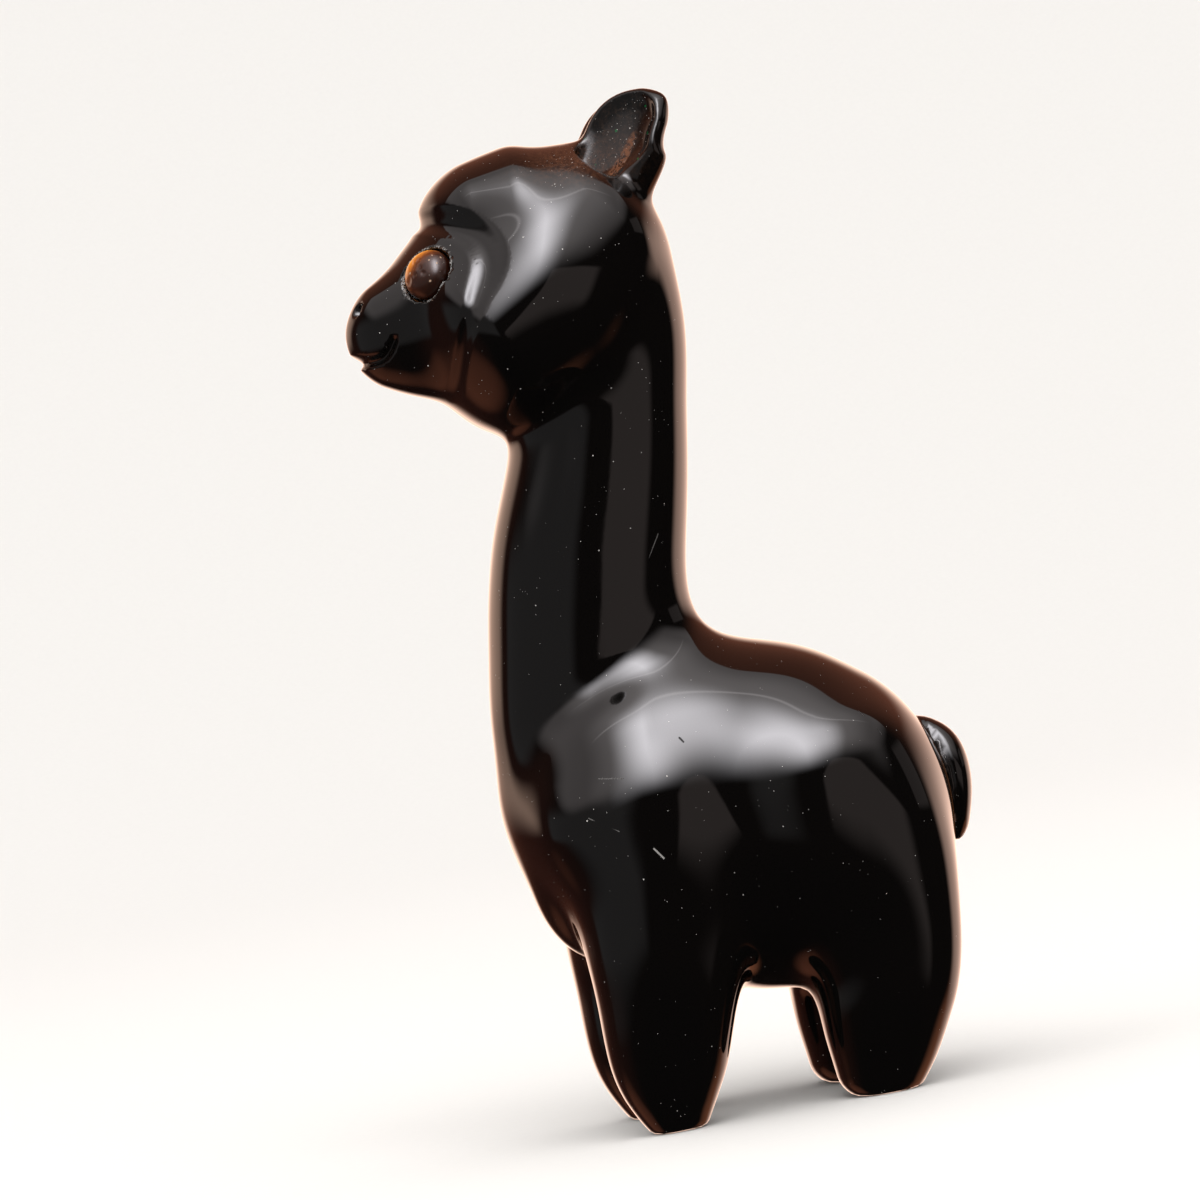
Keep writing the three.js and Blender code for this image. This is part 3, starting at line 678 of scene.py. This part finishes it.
# %% Make the piece
def make_piece(name, points, faces, attributes, normals=None):
    """A mesh object from millimetres, with smooth shading, an attribute for each mark, and the normals."""
    mesh = bpy.data.meshes.new(name)
    mesh.vertices.add(len(points))
    mesh.vertices.foreach_set("co", (points * MM).ravel())
    mesh.loops.add(faces.size)
    mesh.loops.foreach_set("vertex_index", faces.ravel())
    mesh.polygons.add(len(faces))
    mesh.polygons.foreach_set("loop_start", np.arange(0, faces.size, faces.shape[1]))
    mesh.update(calc_edges=True)
    mesh.validate()
    mesh.shade_smooth()
    for key, mark in attributes.items():
        kind, field = ("FLOAT_VECTOR", "vector") if mark.ndim == 2 else ("FLOAT", "value")
        mesh.attributes.new(key, kind, "POINT").data.foreach_set(field, mark.ravel())
    if normals is not None:
        mesh.normals_split_custom_set_from_vertices(normals)
    return new_object(name, mesh)


carving = make_piece("obsidian_llama", stone_points + moved, stone_quads, stone_marks, stone_normals)
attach(carving, "root")
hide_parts("llama_body")
print("stone triangles", 2 * len(stone_quads))

# %% [markdown]
# ## Eye beads
# A bead is a flattened ball of tiger's eye. Its surface is a function of two parameters, the angle round it
# and the way from its front pole to its back pole, with the cosine and sine raised to a power a little under
# one so that it is fuller than an ellipse. A few pits were left by the tumbling. Each vertex keeps its place
# in the bead, forwards, up and out, so that the golden band lies the same way in both eyes.

# %% Eye beads
AROUND, ALONG = 96, 64
FULLNESS = 0.9
PITS = [(0.25, 0.10, 0.26), (-0.12, 0.02, 0.2), (0.12, -0.28, 0.17), (0.42, 0.3, 0.2), (-0.3, -0.25, 0.16),
        (0.45, -0.42, 0.24), (0.02, 0.36, 0.15)]
PIT_DEPTH = 0.05


def bead_shape():
    """Places in the bead as shares of its radius: out is the cosine of the way, and across the sine, both to
    the power of the fullness, and each pit takes away a smooth dent."""
    turn = 2 * math.pi * np.arange(AROUND) / AROUND
    way = math.pi * np.arange(1, ALONG) / ALONG
    way, turn = [grid.ravel() for grid in np.meshgrid(way, turn, indexing="ij")]
    out = np.sign(np.cos(way)) * np.abs(np.cos(way)) ** FULLNESS
    across = np.sin(way) ** FULLNESS
    ring = np.stack([across * np.cos(turn), across * np.sin(turn), out], 1)
    places = np.concatenate([ring, [[0, 0, 1], [0, 0, -1]]])
    dent = np.zeros(len(places))
    for forward, up, size in PITS:
        apart = np.hypot(places[:, 0] - forward, places[:, 1] - up) / size
        dent += (places[:, 2] > 0) * PIT_DEPTH * np.maximum(1 - apart**2, 0) ** 2
    return places * (1 - dent)[:, None]


def ring_quads(rings, spokes):
    """Quads between rings of vertices: a vertex, the one in the next ring, and both of the next spoke."""
    ring, spoke = np.meshgrid(np.arange(rings - 1), np.arange(spokes), indexing="ij")
    here, after = ring * spokes + spoke, ring * spokes + (spoke + 1) % spokes
    return np.stack([here, here + spokes, after + spokes, after], -1).reshape(-1, 4)


def bead_faces():
    """The quads between the rings, each split into two triangles, and a fan of triangles at each pole."""
    quads = ring_quads(ALONG - 1, AROUND)
    spoke = np.arange(AROUND)
    after = (spoke + 1) % AROUND
    last = (ALONG - 2) * AROUND
    front, rear = np.full(AROUND, last + AROUND), np.full(AROUND, last + AROUND + 1)
    fans = [np.stack([front, spoke, after], 1), np.stack([rear, last + after, last + spoke], 1)]
    return np.concatenate([quads[:, [0, 1, 2]], quads[:, [0, 2, 3]], *fans])


def place_bead(name, side):
    """Sets the bead's places out from its seat: the axes are the seat's own, mirrored for the left eye."""
    middle = seat + (BEAD_PROUD - BEAD_THICK / 2) * outward
    places = bead_shape()
    sizes = np.array([BEAD_ACROSS / 2, BEAD_ACROSS / 2, BEAD_THICK / 2])
    axes = np.stack([seat_forward, seat_up, outward])
    points = (middle + (places * sizes) @ axes) * np.array([1, side, 1]) + moved
    faces = bead_faces()
    p = points[faces]
    normals = np.cross(p[:, 1] - p[:, 0], p[:, 2] - p[:, 0])
    if one_per_row(normals, p[:, 0] - points.mean(0)).sum() < 0:
        faces = faces[:, ::-1]
    piece = make_piece(name, points, faces, {"bead_place": places})
    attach(piece, "root")
    return piece


left_bead = place_bead("eye_bead_left", -1)
right_bead = place_bead("eye_bead_right", 1)
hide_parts("eye_left")
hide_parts("eye_right")
print("bead triangles", len(bead_faces()))

# %% [markdown]
# ## Node helpers
# Every finish below is a small net of nodes. These helpers add a node, set its inputs by name and join it up
# in one line, so that a finish reads as a sum. A value that is a socket is linked, any other is typed in.

# %% Node helpers
def fill(tree, socket, value):
    """Links a socket to the input, or types a value into it."""
    if isinstance(value, bpy.types.NodeSocket):
        tree.links.new(value, socket)
    else:
        socket.default_value = value


def add(tree, kind, settings=None, **inputs):
    """Adds a shader node with its settings and inputs, with _ for a space in an input's name."""
    node = tree.nodes.new("ShaderNode" + kind)
    for name, value in (settings or {}).items():
        setattr(node, name, value)
    for name, value in inputs.items():
        fill(tree, node.inputs[name.replace("_", " ")], value)
    return node


def calc(tree, operation, *values):
    """One step of arithmetic on sockets or numbers."""
    node = add(tree, "Math", {"operation": operation})
    for socket, value in zip(node.inputs, values):
        fill(tree, socket, value)
    return node.outputs[0]


def times(tree, first, second):
    """The product of two sockets or numbers."""
    return calc(tree, "MULTIPLY", first, second)


def calc_vector(tree, operation, first, second):
    """One step of arithmetic on two vectors, or on a vector and a scale."""
    node = add(tree, "VectorMath", {"operation": operation})
    fill(tree, node.inputs[0], first)
    fill(tree, node.inputs["Scale"] if operation == "SCALE" else node.inputs[1], second)
    return node.outputs["Value" if operation in ("DOT_PRODUCT", "DISTANCE") else "Vector"]


def ease(tree, value, low, high, start=0.0, end=1.0):
    """The start value below low and the end value above high, and smoothly from one to the other between."""
    return add(tree, "MapRange", {"interpolation_type": "SMOOTHSTEP"}, Value=value,
               From_Min=low, From_Max=high, To_Min=start, To_Max=end).outputs[0]


def colour(red, green, blue):
    """A linear colour with full alpha."""
    return (red, green, blue, 1.0)


def mixed(tree, share, first, second, how="MIX"):
    """The first colour where the share is nought, and the second, or their sum, where it is one."""
    node = add(tree, "Mix", {"data_type": "RGBA", "blend_type": how})
    fill(tree, node.inputs[0], share)
    fill(tree, node.inputs[6], first)
    fill(tree, node.inputs[7], second)
    return node.outputs[2]


def noise(tree, place, scale, detail, roughness=0.5):
    """Cloudy noise between nought and one."""
    node = add(tree, "TexNoise", Vector=place, Scale=scale, Detail=detail, Roughness=roughness)
    return node.outputs["Fac"]


def grains(tree, place, scale):
    """A Voronoi pattern: the distance from the nearest grain's middle, and three random numbers of it."""
    node = add(tree, "TexVoronoi", Vector=place, Scale=scale)
    return node.outputs["Distance"], add(tree, "SeparateColor", Color=node.outputs["Color"]).outputs


def new_group(name, vectors, numbers):
    """An empty node group with the named inputs, and a mask as its only output."""
    group = bpy.data.node_groups.new(name, "ShaderNodeTree")
    for kind, sockets in (("NodeSocketVector", vectors), ("NodeSocketFloat", numbers)):
        for socket in sockets:
            group.interface.new_socket(socket, in_out="INPUT", socket_type=kind)
    group.interface.new_socket("Mask", in_out="OUTPUT", socket_type="NodeSocketFloat")
    given = group.nodes.new("NodeGroupInput").outputs
    return group, given, group.nodes.new("NodeGroupOutput").inputs["Mask"]


def masked(tree, group, **inputs):
    """Places a group and gives its mask."""
    return add(tree, "Group", {"node_tree": group}, **inputs).outputs["Mask"]


def new_material(name):
    """A material, its node tree and the shader in it."""
    material = bpy.data.materials.new(name)
    material.use_nodes = True
    return material, material.node_tree, material.node_tree.nodes["Principled BSDF"]


# %% [markdown]
# ## Dust
# Both stones were photographed in dry air, and glassy stone draws dust. A speck is a grain of a Voronoi
# pattern whose random number is low enough, drawn only near the grain's middle. Dust gathers where no cloth
# reaches, so the hollow places have more of it. Both finishes place this group with their own amounts.

# %% The dust group
SPECK_SIZES = ((3600.0, 0.30, 0.006), (7000.0, 0.32, 0.006))
HOLLOW_DUST = 16.0


def dust_group():
    """Specks of two sizes: a grain shows one where its random number is under the amount's share and the
    distance from its middle is under its radius. Its brightness is random too."""
    group, given, mask = new_group("dust", (), ("Amount", "Hollow"))
    place = add(group, "TexCoord").outputs["Object"]
    share = calc(group, "MULTIPLY_ADD", given["Hollow"], HOLLOW_DUST, given["Amount"])
    specks = 0.0
    for scale, radius, per_grain in SPECK_SIZES:
        distance, chance = grains(group, place, scale)
        picked = calc(group, "LESS_THAN", chance[0], times(group, share, per_grain))
        size = calc(group, "MULTIPLY_ADD", chance[1], radius * 0.7, radius * 0.3)
        near = calc(group, "LESS_THAN", distance, size)
        bright = calc(group, "MULTIPLY_ADD", chance[2], 0.75, 0.25)
        speck = times(group, times(group, picked, near), bright)
        specks = calc(group, "MAXIMUM", specks, speck)
    group.links.new(specks, mask)
    return group


dust = dust_group()

# %% [markdown]
# ## Scratches
# A carving that has been handled has a few hairlines. One is a straight line between two points of the skin,
# and the group says how near a place is to it. Some are open cracks that look black, some are crushed and
# pale. Each row below is a start, an end, a width and a paleness.

# %% The hairline group
HAIRLINES = (
    ((15.3, -14.15, 38.7), (17.0, -15.15, 36.1), 0.13, 0.0),
    ((-3.2, -14.62, 39.3), (-2.9, -14.75, 38.8), 0.16, 0.0),
    ((-7.9, -16.35, 28.9), (-7.1, -16.4, 27.8), 0.12, 0.25),
    ((-12.0, -14.55, 36.7), (-9.6, -15.35, 36.3), 0.08, 0.06),
    ((-13.7, -15.05, 33.0), (-11.0, -15.9, 31.2), 0.08, 0.08),
    ((-2.2, -8.1, 57.6), (-0.8, -7.6, 59.9), 0.08, 0.05),
)


def hairline_group():
    """One where the distance from the segment is well under its width. The nearest point lies at the share of
    the segment that the dot products give, kept between its ends."""
    group, given, mask = new_group("hairline", ("Start", "Along"), ("Width",))
    along = given["Along"]
    offset = calc_vector(group, "SUBTRACT", add(group, "TexCoord").outputs["Object"], given["Start"])
    onto = calc_vector(group, "DOT_PRODUCT", offset, along)
    share = calc(group, "DIVIDE", onto, calc_vector(group, "DOT_PRODUCT", along, along))
    share = calc(group, "MINIMUM", calc(group, "MAXIMUM", share, 0.0), 1.0)
    away = calc_vector(group, "DISTANCE", offset, calc_vector(group, "SCALE", along, share))
    core = times(group, given["Width"], 0.4)
    group.links.new(ease(group, away, core, given["Width"], 1.0, 0.0), mask)
    return group


hairline = hairline_group()


def line_mask(tree, start, end, width):
    """The mask of one line, from places and a width in millimetres."""
    start, end = Vector(start) * MM, Vector(end) * MM
    return masked(tree, hairline, Start=start, Along=end - start, Width=width * MM)


# %% [markdown]
# ## Obsidian
# Volcanic glass is black through and through, so its colour is almost nothing and its mirror is everything.
# The polish isn't even: it is fully clear on the open faces, a little hazy in places, and dull with trapped
# dust in the hollows and at the foot of the ears. At its very edge a painted brown glow, an emission that
# grows at grazing angles, stands in for light that the thin glass lets through. Green glints and a brown
# ridge lie in the ear, where a fresh fracture was left half polished.

# %% The obsidian
GLASS = (0.0022, 0.0019, 0.0018)
DUST_BROWN, BED_BROWN, RIDGE_BROWN = (0.05, 0.03, 0.02), (0.075, 0.030, 0.015), (0.16, 0.055, 0.02)
GLINT_GREEN = (0.002, 0.07, 0.02)
CRUSHED_WHITE, SPECK_WHITE = (0.40, 0.39, 0.38), (0.5, 0.48, 0.46)
# The rim's brown is a painted glow: emission at grazing angles stands in for light through the thin edge.
PAINTED_RIM_GLOW = (0.13, 0.05, 0.018)
EAR_RIDGE = ((4.5, -5.9, 100.3), (1.3, -6.4, 97.1), 0.9)
GRIT, FINE, BROAD = (6500.0, 3.0, 0.7), (2400.0, 4.0, 0.7), (170.0, 3.0, 0.6)
GLINT_SCALE, GLINT_SHARE = 1900.0, 0.035
DUST_AMOUNT = 0.9
CLEAR_ROUGHNESS, HAZE_ROUGHNESS, DULL_ROUGHNESS = 0.03, 0.03, 0.22
CRUSHED_ROUGHNESS, SPECK_ROUGHNESS, RIDGE_ROUGHNESS, LINE_ROUGHNESS = 0.4, 0.5, 0.3, 0.7
RIM_POWER = 20.0
GRAIN_STRENGTH, GRAIN_HEIGHT = 0.35, 0.06 * MM


def obsidian():
    """Black base, a mirror with a haze that noise varies, dull dusty hollows, and a painted brown glow at the
    edge.
    """
    material, tree, shader = new_material("polished_obsidian")
    place = add(tree, "TexCoord").outputs["Object"]
    hollow, in_ear, dust_bed, chipped = [
        add(tree, "Attribute", {"attribute_name": name}).outputs["Fac"] for name in stone_marks]
    grit, fine, broad = [noise(tree, place, *kind) for kind in (GRIT, FINE, BROAD)]
    dull = calc(tree, "MAXIMUM", ease(tree, hollow, 0.25, 0.75), times(tree, in_ear, 0.75))
    dull = calc(tree, "MAXIMUM", times(tree, dull, ease(tree, broad, 0.3, 0.62)), dust_bed)
    dusty = times(tree, dull, ease(tree, fine, 0.45, 0.72))
    bed = times(tree, dust_bed, ease(tree, fine, 0.3, 0.7))
    ridge = times(tree, line_mask(tree, *EAR_RIDGE), ease(tree, fine, 0.35, 0.6))
    distance, chance = grains(tree, place, GLINT_SCALE)
    picked = calc(tree, "LESS_THAN", chance[0], GLINT_SHARE)
    glint = times(tree, picked, ease(tree, distance, 0.2, 0.4, 1.0, 0.0))
    crushed = times(tree, ease(tree, chipped, 0.25, 0.8), ease(tree, grit, 0.47, 0.58))
    specks = masked(tree, dust, Amount=DUST_AMOUNT, Hollow=dull)
    layers = [(times(tree, dusty, 0.5), DUST_BROWN), (bed, BED_BROWN), (times(tree, ridge, 0.8), RIDGE_BROWN),
              (times(tree, glint, in_ear), GLINT_GREEN), (crushed, CRUSHED_WHITE), (specks, SPECK_WHITE)]
    roughenings = [(ease(tree, broad, 0.35, 0.75), HAZE_ROUGHNESS), (dull, DULL_ROUGHNESS),
                   (crushed, CRUSHED_ROUGHNESS), (specks, SPECK_ROUGHNESS), (ridge, RIDGE_ROUGHNESS)]
    for start, end, width, pale in HAIRLINES:
        line = line_mask(tree, start, end, width)
        layers.append((line, (pale, 0.96 * pale, 0.92 * pale)))
        roughenings.append((line, LINE_ROUGHNESS))
    rough = CLEAR_ROUGHNESS
    for mask, amount in roughenings:
        rough = calc(tree, "MULTIPLY_ADD", mask, amount, rough)
    base = colour(*GLASS)
    for mask, shade in layers:
        base = mixed(tree, mask, base, colour(*shade))
    # Painted glow: brown emission that grows towards grazing angles, in place of light through the thin edge.
    facing = add(tree, "LayerWeight", Blend=0.5).outputs["Facing"]
    glow = mixed(tree, calc(tree, "POWER", facing, RIM_POWER), colour(0, 0, 0), colour(*PAINTED_RIM_GLOW))
    height = calc(tree, "ADD", times(tree, fine, dull), times(tree, grit, crushed))
    bump = add(tree, "Bump", Height=height, Strength=GRAIN_STRENGTH, Distance=GRAIN_HEIGHT)
    fill(tree, shader.inputs["Base Color"], base)
    fill(tree, shader.inputs["Roughness"], rough)
    fill(tree, shader.inputs["Normal"], bump.outputs["Normal"])
    fill(tree, shader.inputs["Emission Color"], glow)
    shader.inputs["Emission Strength"].default_value = 1.0
    shader.inputs["IOR"].default_value = 1.5
    return material


carving.data.materials.append(obsidian())

# %% [markdown]
# ## Tiger's eye
# Tiger's eye is quartz that grew along fine parallel fibres. Its gold shows only where the fibres catch the
# light, so a polished ball has one golden band and goes dark brown beside it. Here the band is a painted
# sheen on the stone's own dark brown: it is made from the vertex's place in the bead, bent a little by noise,
# so the golden edge stays up and forward in both eyes.

# %% The tiger's eye
# The golden band is a painted sheen that stays up and forward; the dark brown stops are the stone's own
# colour.
SHEEN_FORWARD, SHEEN_UP = 0.72, 0.62
BROWN_AND_SHEEN_STOPS = (
    (0.0, (0.014, 0.004, 0.002)), (0.46, (0.028, 0.007, 0.003)), (0.62, (0.13, 0.032, 0.006)),
    (0.74, (0.52, 0.15, 0.012)), (0.86, (0.90, 0.36, 0.03)))
PIT_TAN, BEAD_SPECK = (0.45, 0.3, 0.2), (0.5, 0.45, 0.4)


def tiger_eye():
    """A painted golden sheen towards the upper front edge of the bead, dark brown across its middle, fibres
    along the band.
    """
    material, tree, shader = new_material("tiger_eye_bead")
    place = add(tree, "Attribute", {"attribute_name": "bead_place"}).outputs["Vector"]
    parts = add(tree, "SeparateXYZ", Vector=place).outputs
    slant = calc(tree, "ADD", times(tree, parts["X"], SHEEN_FORWARD), times(tree, parts["Y"], SHEEN_UP))
    slant = calc(tree, "MULTIPLY_ADD", noise(tree, place, 1.6, 3.0), 0.5, slant)
    stretched = add(tree, "Mapping", Vector=place, Rotation=(0.0, 0.0, 0.75), Scale=(9.0, 1.2, 1.0))
    fibres = add(tree, "TexNoise", {"noise_dimensions": "2D"}, Vector=stretched.outputs["Vector"],
                 Scale=5.0, Detail=5.0, Roughness=0.7).outputs["Fac"]
    slant = calc(tree, "MULTIPLY_ADD", fibres, 0.3, slant)
    # The ramp paints the sheen: gold where the slant is high, the stone's dark brown where it is low.
    ramp = add(tree, "ValToRGB", Fac=calc(tree, "MULTIPLY_ADD", slant, 0.5, 0.34))
    while len(ramp.color_ramp.elements) < len(BROWN_AND_SHEEN_STOPS):
        ramp.color_ramp.elements.new(0.5)
    for element, (at, shade) in zip(ramp.color_ramp.elements, BROWN_AND_SHEEN_STOPS):
        element.position = at
        element.color = colour(*shade)
    distance, chance = grains(tree, place, 3.4)
    pit = times(tree, ease(tree, distance, 0.1, 0.22, 1.0, 0.0), calc(tree, "LESS_THAN", chance[0], 0.45))
    base = mixed(tree, times(tree, pit, 0.8), ramp.outputs["Color"], colour(*PIT_TAN))
    base = mixed(tree, masked(tree, dust, Amount=2.0, Hollow=0.0), base, colour(*BEAD_SPECK))
    fill(tree, shader.inputs["Base Color"], base)
    fill(tree, shader.inputs["Roughness"], calc(tree, "MULTIPLY_ADD", pit, 0.35, 0.28))
    shader.inputs["IOR"].default_value = 1.54
    shader.inputs["Specular IOR Level"].default_value = 0.35
    shader.inputs["Coat Weight"].default_value = 0.2
    shader.inputs["Coat Roughness"].default_value = 0.08
    return material


tiger = tiger_eye()
for bead in (left_bead, right_bead):
    bead.data.materials.append(tiger)

# %% [markdown]
# ## The floor
# A pale sheet lies under the llama and curves up all round into one even, warm white. It is one surface of
# revolution: flat out to a radius, then a quarter circle, then straight up. The stone doesn't mirror it,
# because in the photographer's room the space below and in front of the stone was dark.

# %% Floor and backdrop
FLOOR_FLAT, FLOOR_BEND, FLOOR_WALL = 0.55, 0.65, 1.6
FLOOR_RINGS, FLOOR_SPOKES = 64, 96


def floor_bowl():
    """Rings of radius s up to the flat's edge, then the quarter circle: out by the bend times the sine of the
    angle, up by the bend times one less its cosine, then straight up."""
    share = np.arange(1, FLOOR_RINGS + 1) / FLOOR_RINGS
    length = share * (FLOOR_FLAT + FLOOR_BEND * math.pi / 2 + FLOOR_WALL)
    angle = np.clip((length - FLOOR_FLAT) / FLOOR_BEND, 0, math.pi / 2)
    wall = np.maximum(length - FLOOR_FLAT - FLOOR_BEND * math.pi / 2, 0)
    radius = np.minimum(length, FLOOR_FLAT) + FLOOR_BEND * np.sin(angle)
    height = FLOOR_BEND * (1 - np.cos(angle)) + wall
    turn = 2 * math.pi * np.arange(FLOOR_SPOKES) / FLOOR_SPOKES
    points = np.stack([np.outer(radius, np.cos(turn)), np.outer(radius, np.sin(turn)),
                       np.repeat(height[:, None], FLOOR_SPOKES, 1)], -1).reshape(-1, 3)
    faces = [list(range(FLOOR_SPOKES))] + ring_quads(FLOOR_RINGS, FLOOR_SPOKES).tolist()
    mesh = bpy.data.meshes.new("floor")
    mesh.from_pydata(points.tolist(), [], faces)
    mesh.shade_smooth()
    return new_object("floor", mesh)


def plain_paper():
    """Warm white matt paper with the faintest grain."""
    material, tree, shader = new_material("plain_paper")
    grain = noise(tree, add(tree, "TexCoord").outputs["Object"], 900.0, 2.0)
    paper = mixed(tree, grain, colour(0.85, 0.835, 0.815), colour(0.88, 0.865, 0.845))
    fill(tree, shader.inputs["Base Color"], paper)
    shader.inputs["Roughness"].default_value = 0.9
    shader.inputs["Specular IOR Level"].default_value = 0.1
    return material


floor = floor_bowl()
floor.data.materials.append(plain_paper())
floor.visible_glossy = False
floor.visible_diffuse = False
floor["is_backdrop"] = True

# %% [markdown]
# ## The room
# A black mirror is lit by what it reflects, so the room is painted by direction instead of built. Each card
# in it is a rectangle seen from the stone: it faces one direction, and the ratio of a ray's parts across and
# up to its part towards the card says whether the ray meets it. Each cap is a cone of directions round an
# axis. Later ones lie over earlier ones, and a lamp's glow is added to them. Only mirrored rays see this
# room. Every other ray sees an even white.

# %% Cards and caps
SIDES = ("Soft Left", "Soft Right", "Soft Bottom", "Soft Top")
LEAST_TOWARDS = 0.02


def way(longitude, latitude):
    """The direction at a longitude, from the camera towards its right, and a latitude, both in degrees."""
    lon, lat = math.radians(longitude), math.radians(latitude)
    level = math.cos(lon) * back + math.sin(lon) * right
    return math.cos(lat) * level + math.sin(lat) * up


def card_group():
    """The mask of a soft-edged rectangle. Each ratio eases in from one side's softness below the low edge to
    as much above it, and out again over the high edge. The ray must also head towards the card."""
    group, given, out = new_group(
        "card", ("Ray", "Facing", "Across", "Upwards"), ("Half Width", "Half Height", *SIDES))

    def over_edge(ratio, size, soft):
        return ease(group, ratio, calc(group, "SUBTRACT", size, soft), calc(group, "ADD", size, soft))

    towards = calc_vector(group, "DOT_PRODUCT", given["Ray"], given["Facing"])
    mask = calc(group, "GREATER_THAN", towards, LEAST_TOWARDS)
    spans = (("Across", "Half Width", *SIDES[:2]), ("Upwards", "Half Height", *SIDES[2:]))
    for axis, size, low, high in spans:
        part = calc_vector(group, "DOT_PRODUCT", given["Ray"], given[axis])
        ratio = calc(group, "DIVIDE", part, calc(group, "MAXIMUM", towards, LEAST_TOWARDS))
        past_high = over_edge(ratio, given[size], given[high])
        past_low = over_edge(times(group, ratio, -1.0), given[size], given[low])
        mask = times(group, mask, calc(group, "SUBTRACT", 1.0, calc(group, "MAXIMUM", past_high, past_low)))
    group.links.new(mask, out)
    return group


card = card_group()


def over_card(tree, ray, below, shade, longitude, latitude, roll, half_width, half_height, soft, how="MIX"):
    """Lays a card over what is there, or adds its light to it. Half sizes and softness are tangents of
    angles, roll is in degrees. The softness is of the left, right, bottom and top edge."""
    facing = way(longitude, latitude)
    level = way(longitude + 90, 0)
    across, upwards = rolled(level, facing.cross(level), math.radians(roll))
    mask = masked(tree, card, Ray=ray, Facing=facing, Across=across, Upwards=upwards,
                  Half_Width=half_width, Half_Height=half_height, **dict(zip(SIDES, soft)))
    return mixed(tree, mask, below, colour(*shade), how)


def over_cap(tree, ray, below, shade, longitude, latitude, inner, outer):
    """Lays a cap over what is there: whole within the inner angle from its axis, gone past the outer one."""
    towards = calc_vector(tree, "DOT_PRODUCT", ray, way(longitude, latitude))
    share = ease(tree, towards, math.cos(math.radians(outer)), math.cos(math.radians(inner)))
    return mixed(tree, share, below, colour(*shade))


# %% Paint the room
DARK_ROOM = (0.010, 0.006, 0.005)
BACK_CAPS = (
    ((0.42, 0.15, 0.09), 180, 40, 35, 75),
    ((0.10, 0.030, 0.020), -110, -15, 10, 60),
    ((0.60, 0.20, 0.11), -110, -42, 5, 28),
    ((0.90, 0.32, 0.16), 124, -40, 5, 30),
)
BACKDROP_CARDS = (
    ((1.6, 1.05, 0.80), -145, 14, 0, 0.50, 0.24, 4 * (0.16,)),
    ((2.2, 1.45, 1.15), 145, -8, 0, 0.70, 0.34, 4 * (0.22,)),
    ((2.0, 1.35, 1.05), 180, 0, 0, 0.35, 0.40, 4 * (0.20,)),
)
CEILING = ((0.95, 0.86, 0.85), 0, 65, 0, 1.7, 0.75, (0.5, 0.6, 0.35, 0.015))
GREY_CARDS = (
    ((0.22, 0.21, 0.21), -50, 6, 0, 1.2, 0.36, (0.20, 0.20, 0.10, 0.2)),
    ((0.42, 0.35, 0.33), 36, 0, -24, 0.36, 0.22, (0.015, 0.1, 0.1, 0.02)),
    ((0.26, 0.22, 0.21), 92, 12, 0, 0.20, 0.13, 4 * (0.02,)),
)
GLOWS = (
    ((1.6, 1.5, 1.5), 12, 58, 0, 0.50, 0.60, (0.45, 0.45, 0.45, 0.3)),
    ((2.0, 1.9, 1.9), 14, 72, 0, 0.55, 0.012, (0.2, 0.4, 0.012, 0.012)),
    ((14.0, 13.7, 14.4), 9, 49, 0, 0.17, 0.40, (0.28, 0.22, 0.36, 0.26)),
)
DARK_BELOW = ((0.004, 0.003, 0.003), 0, -55, 30, 46)
EVEN_WHITE = (1.0, 0.985, 0.97)


def room():
    """From far to near: the dark room with the brown of the back, the bright backdrop behind the stone, the
    grey ceiling, the grey cards, the softbox with its halo and a thin strip, and the dark below."""
    world = bpy.data.worlds.new("studio")
    bpy.context.scene.world = world
    world.use_nodes = True
    world.cycles.sampling_method = "NONE"
    tree = world.node_tree
    tree.nodes.clear()
    ray = add(tree, "TexCoord").outputs["Generated"]
    seen = colour(*DARK_ROOM)
    for cap in BACK_CAPS:
        seen = over_cap(tree, ray, seen, *cap)
    for sheet in (*BACKDROP_CARDS, CEILING, *GREY_CARDS):
        seen = over_card(tree, ray, seen, *sheet)
    for glow in GLOWS:
        seen = over_card(tree, ray, seen, *glow, how="ADD")
    seen = over_cap(tree, ray, seen, *DARK_BELOW)
    mirrored = add(tree, "Background", Color=seen, Strength=1.0)
    even = add(tree, "Background", Color=colour(*EVEN_WHITE), Strength=0.98)
    choice = add(tree, "MixShader", Fac=add(tree, "LightPath").outputs["Is Glossy Ray"])
    tree.links.new(even.outputs[0], choice.inputs[1])
    tree.links.new(mirrored.outputs[0], choice.inputs[2])
    add(tree, "OutputWorld", Surface=choice.outputs[0])


room()

# %% [markdown]
# ## Lamps
# Two big soft lamps light the paper, the dust and the beads. The stone's mirror doesn't see them, since the
# room above already holds the softbox.

# %% Lamps
def lamp(name, place, size, watts, shade):
    """A square area lamp at a place in metres, turned towards the llama's middle."""
    data = bpy.data.lights.new(name, "AREA")
    data.size = size
    data.energy = watts
    data.color = shade
    one = new_object(name, data)
    aim = (CAMERA_TARGET - place).normalized()
    one.matrix_world = Matrix.Translation(place) @ aim.to_track_quat("-Z", "Y").to_matrix().to_4x4()
    one.visible_glossy = False


lamp("softbox", CAMERA_TARGET + 0.75 * way(14, 52), 0.55, 2.4, (1.0, 0.985, 0.97))
lamp("fill", CAMERA_TARGET + 1.0 * way(-70, 40), 0.8, 1.2, (1.0, 0.97, 0.94))
bpy.context.scene.view_settings.view_transform = "Standard"

# %% [markdown]
# ## Finish
# The model's own box is kept beside the frame's, to show that the looks stay inside the size of the part.

# %% Sizes and finish
seen_low, seen_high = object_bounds()
sizes = {"cad": [list(cad_low), list(cad_high)], "visual": [list(seen_low), list(seen_high)]}
for name, pair in sizes.items():
    print(f"{name} in mm:", [[round(1000 * v, 2) for v in corner] for corner in pair])
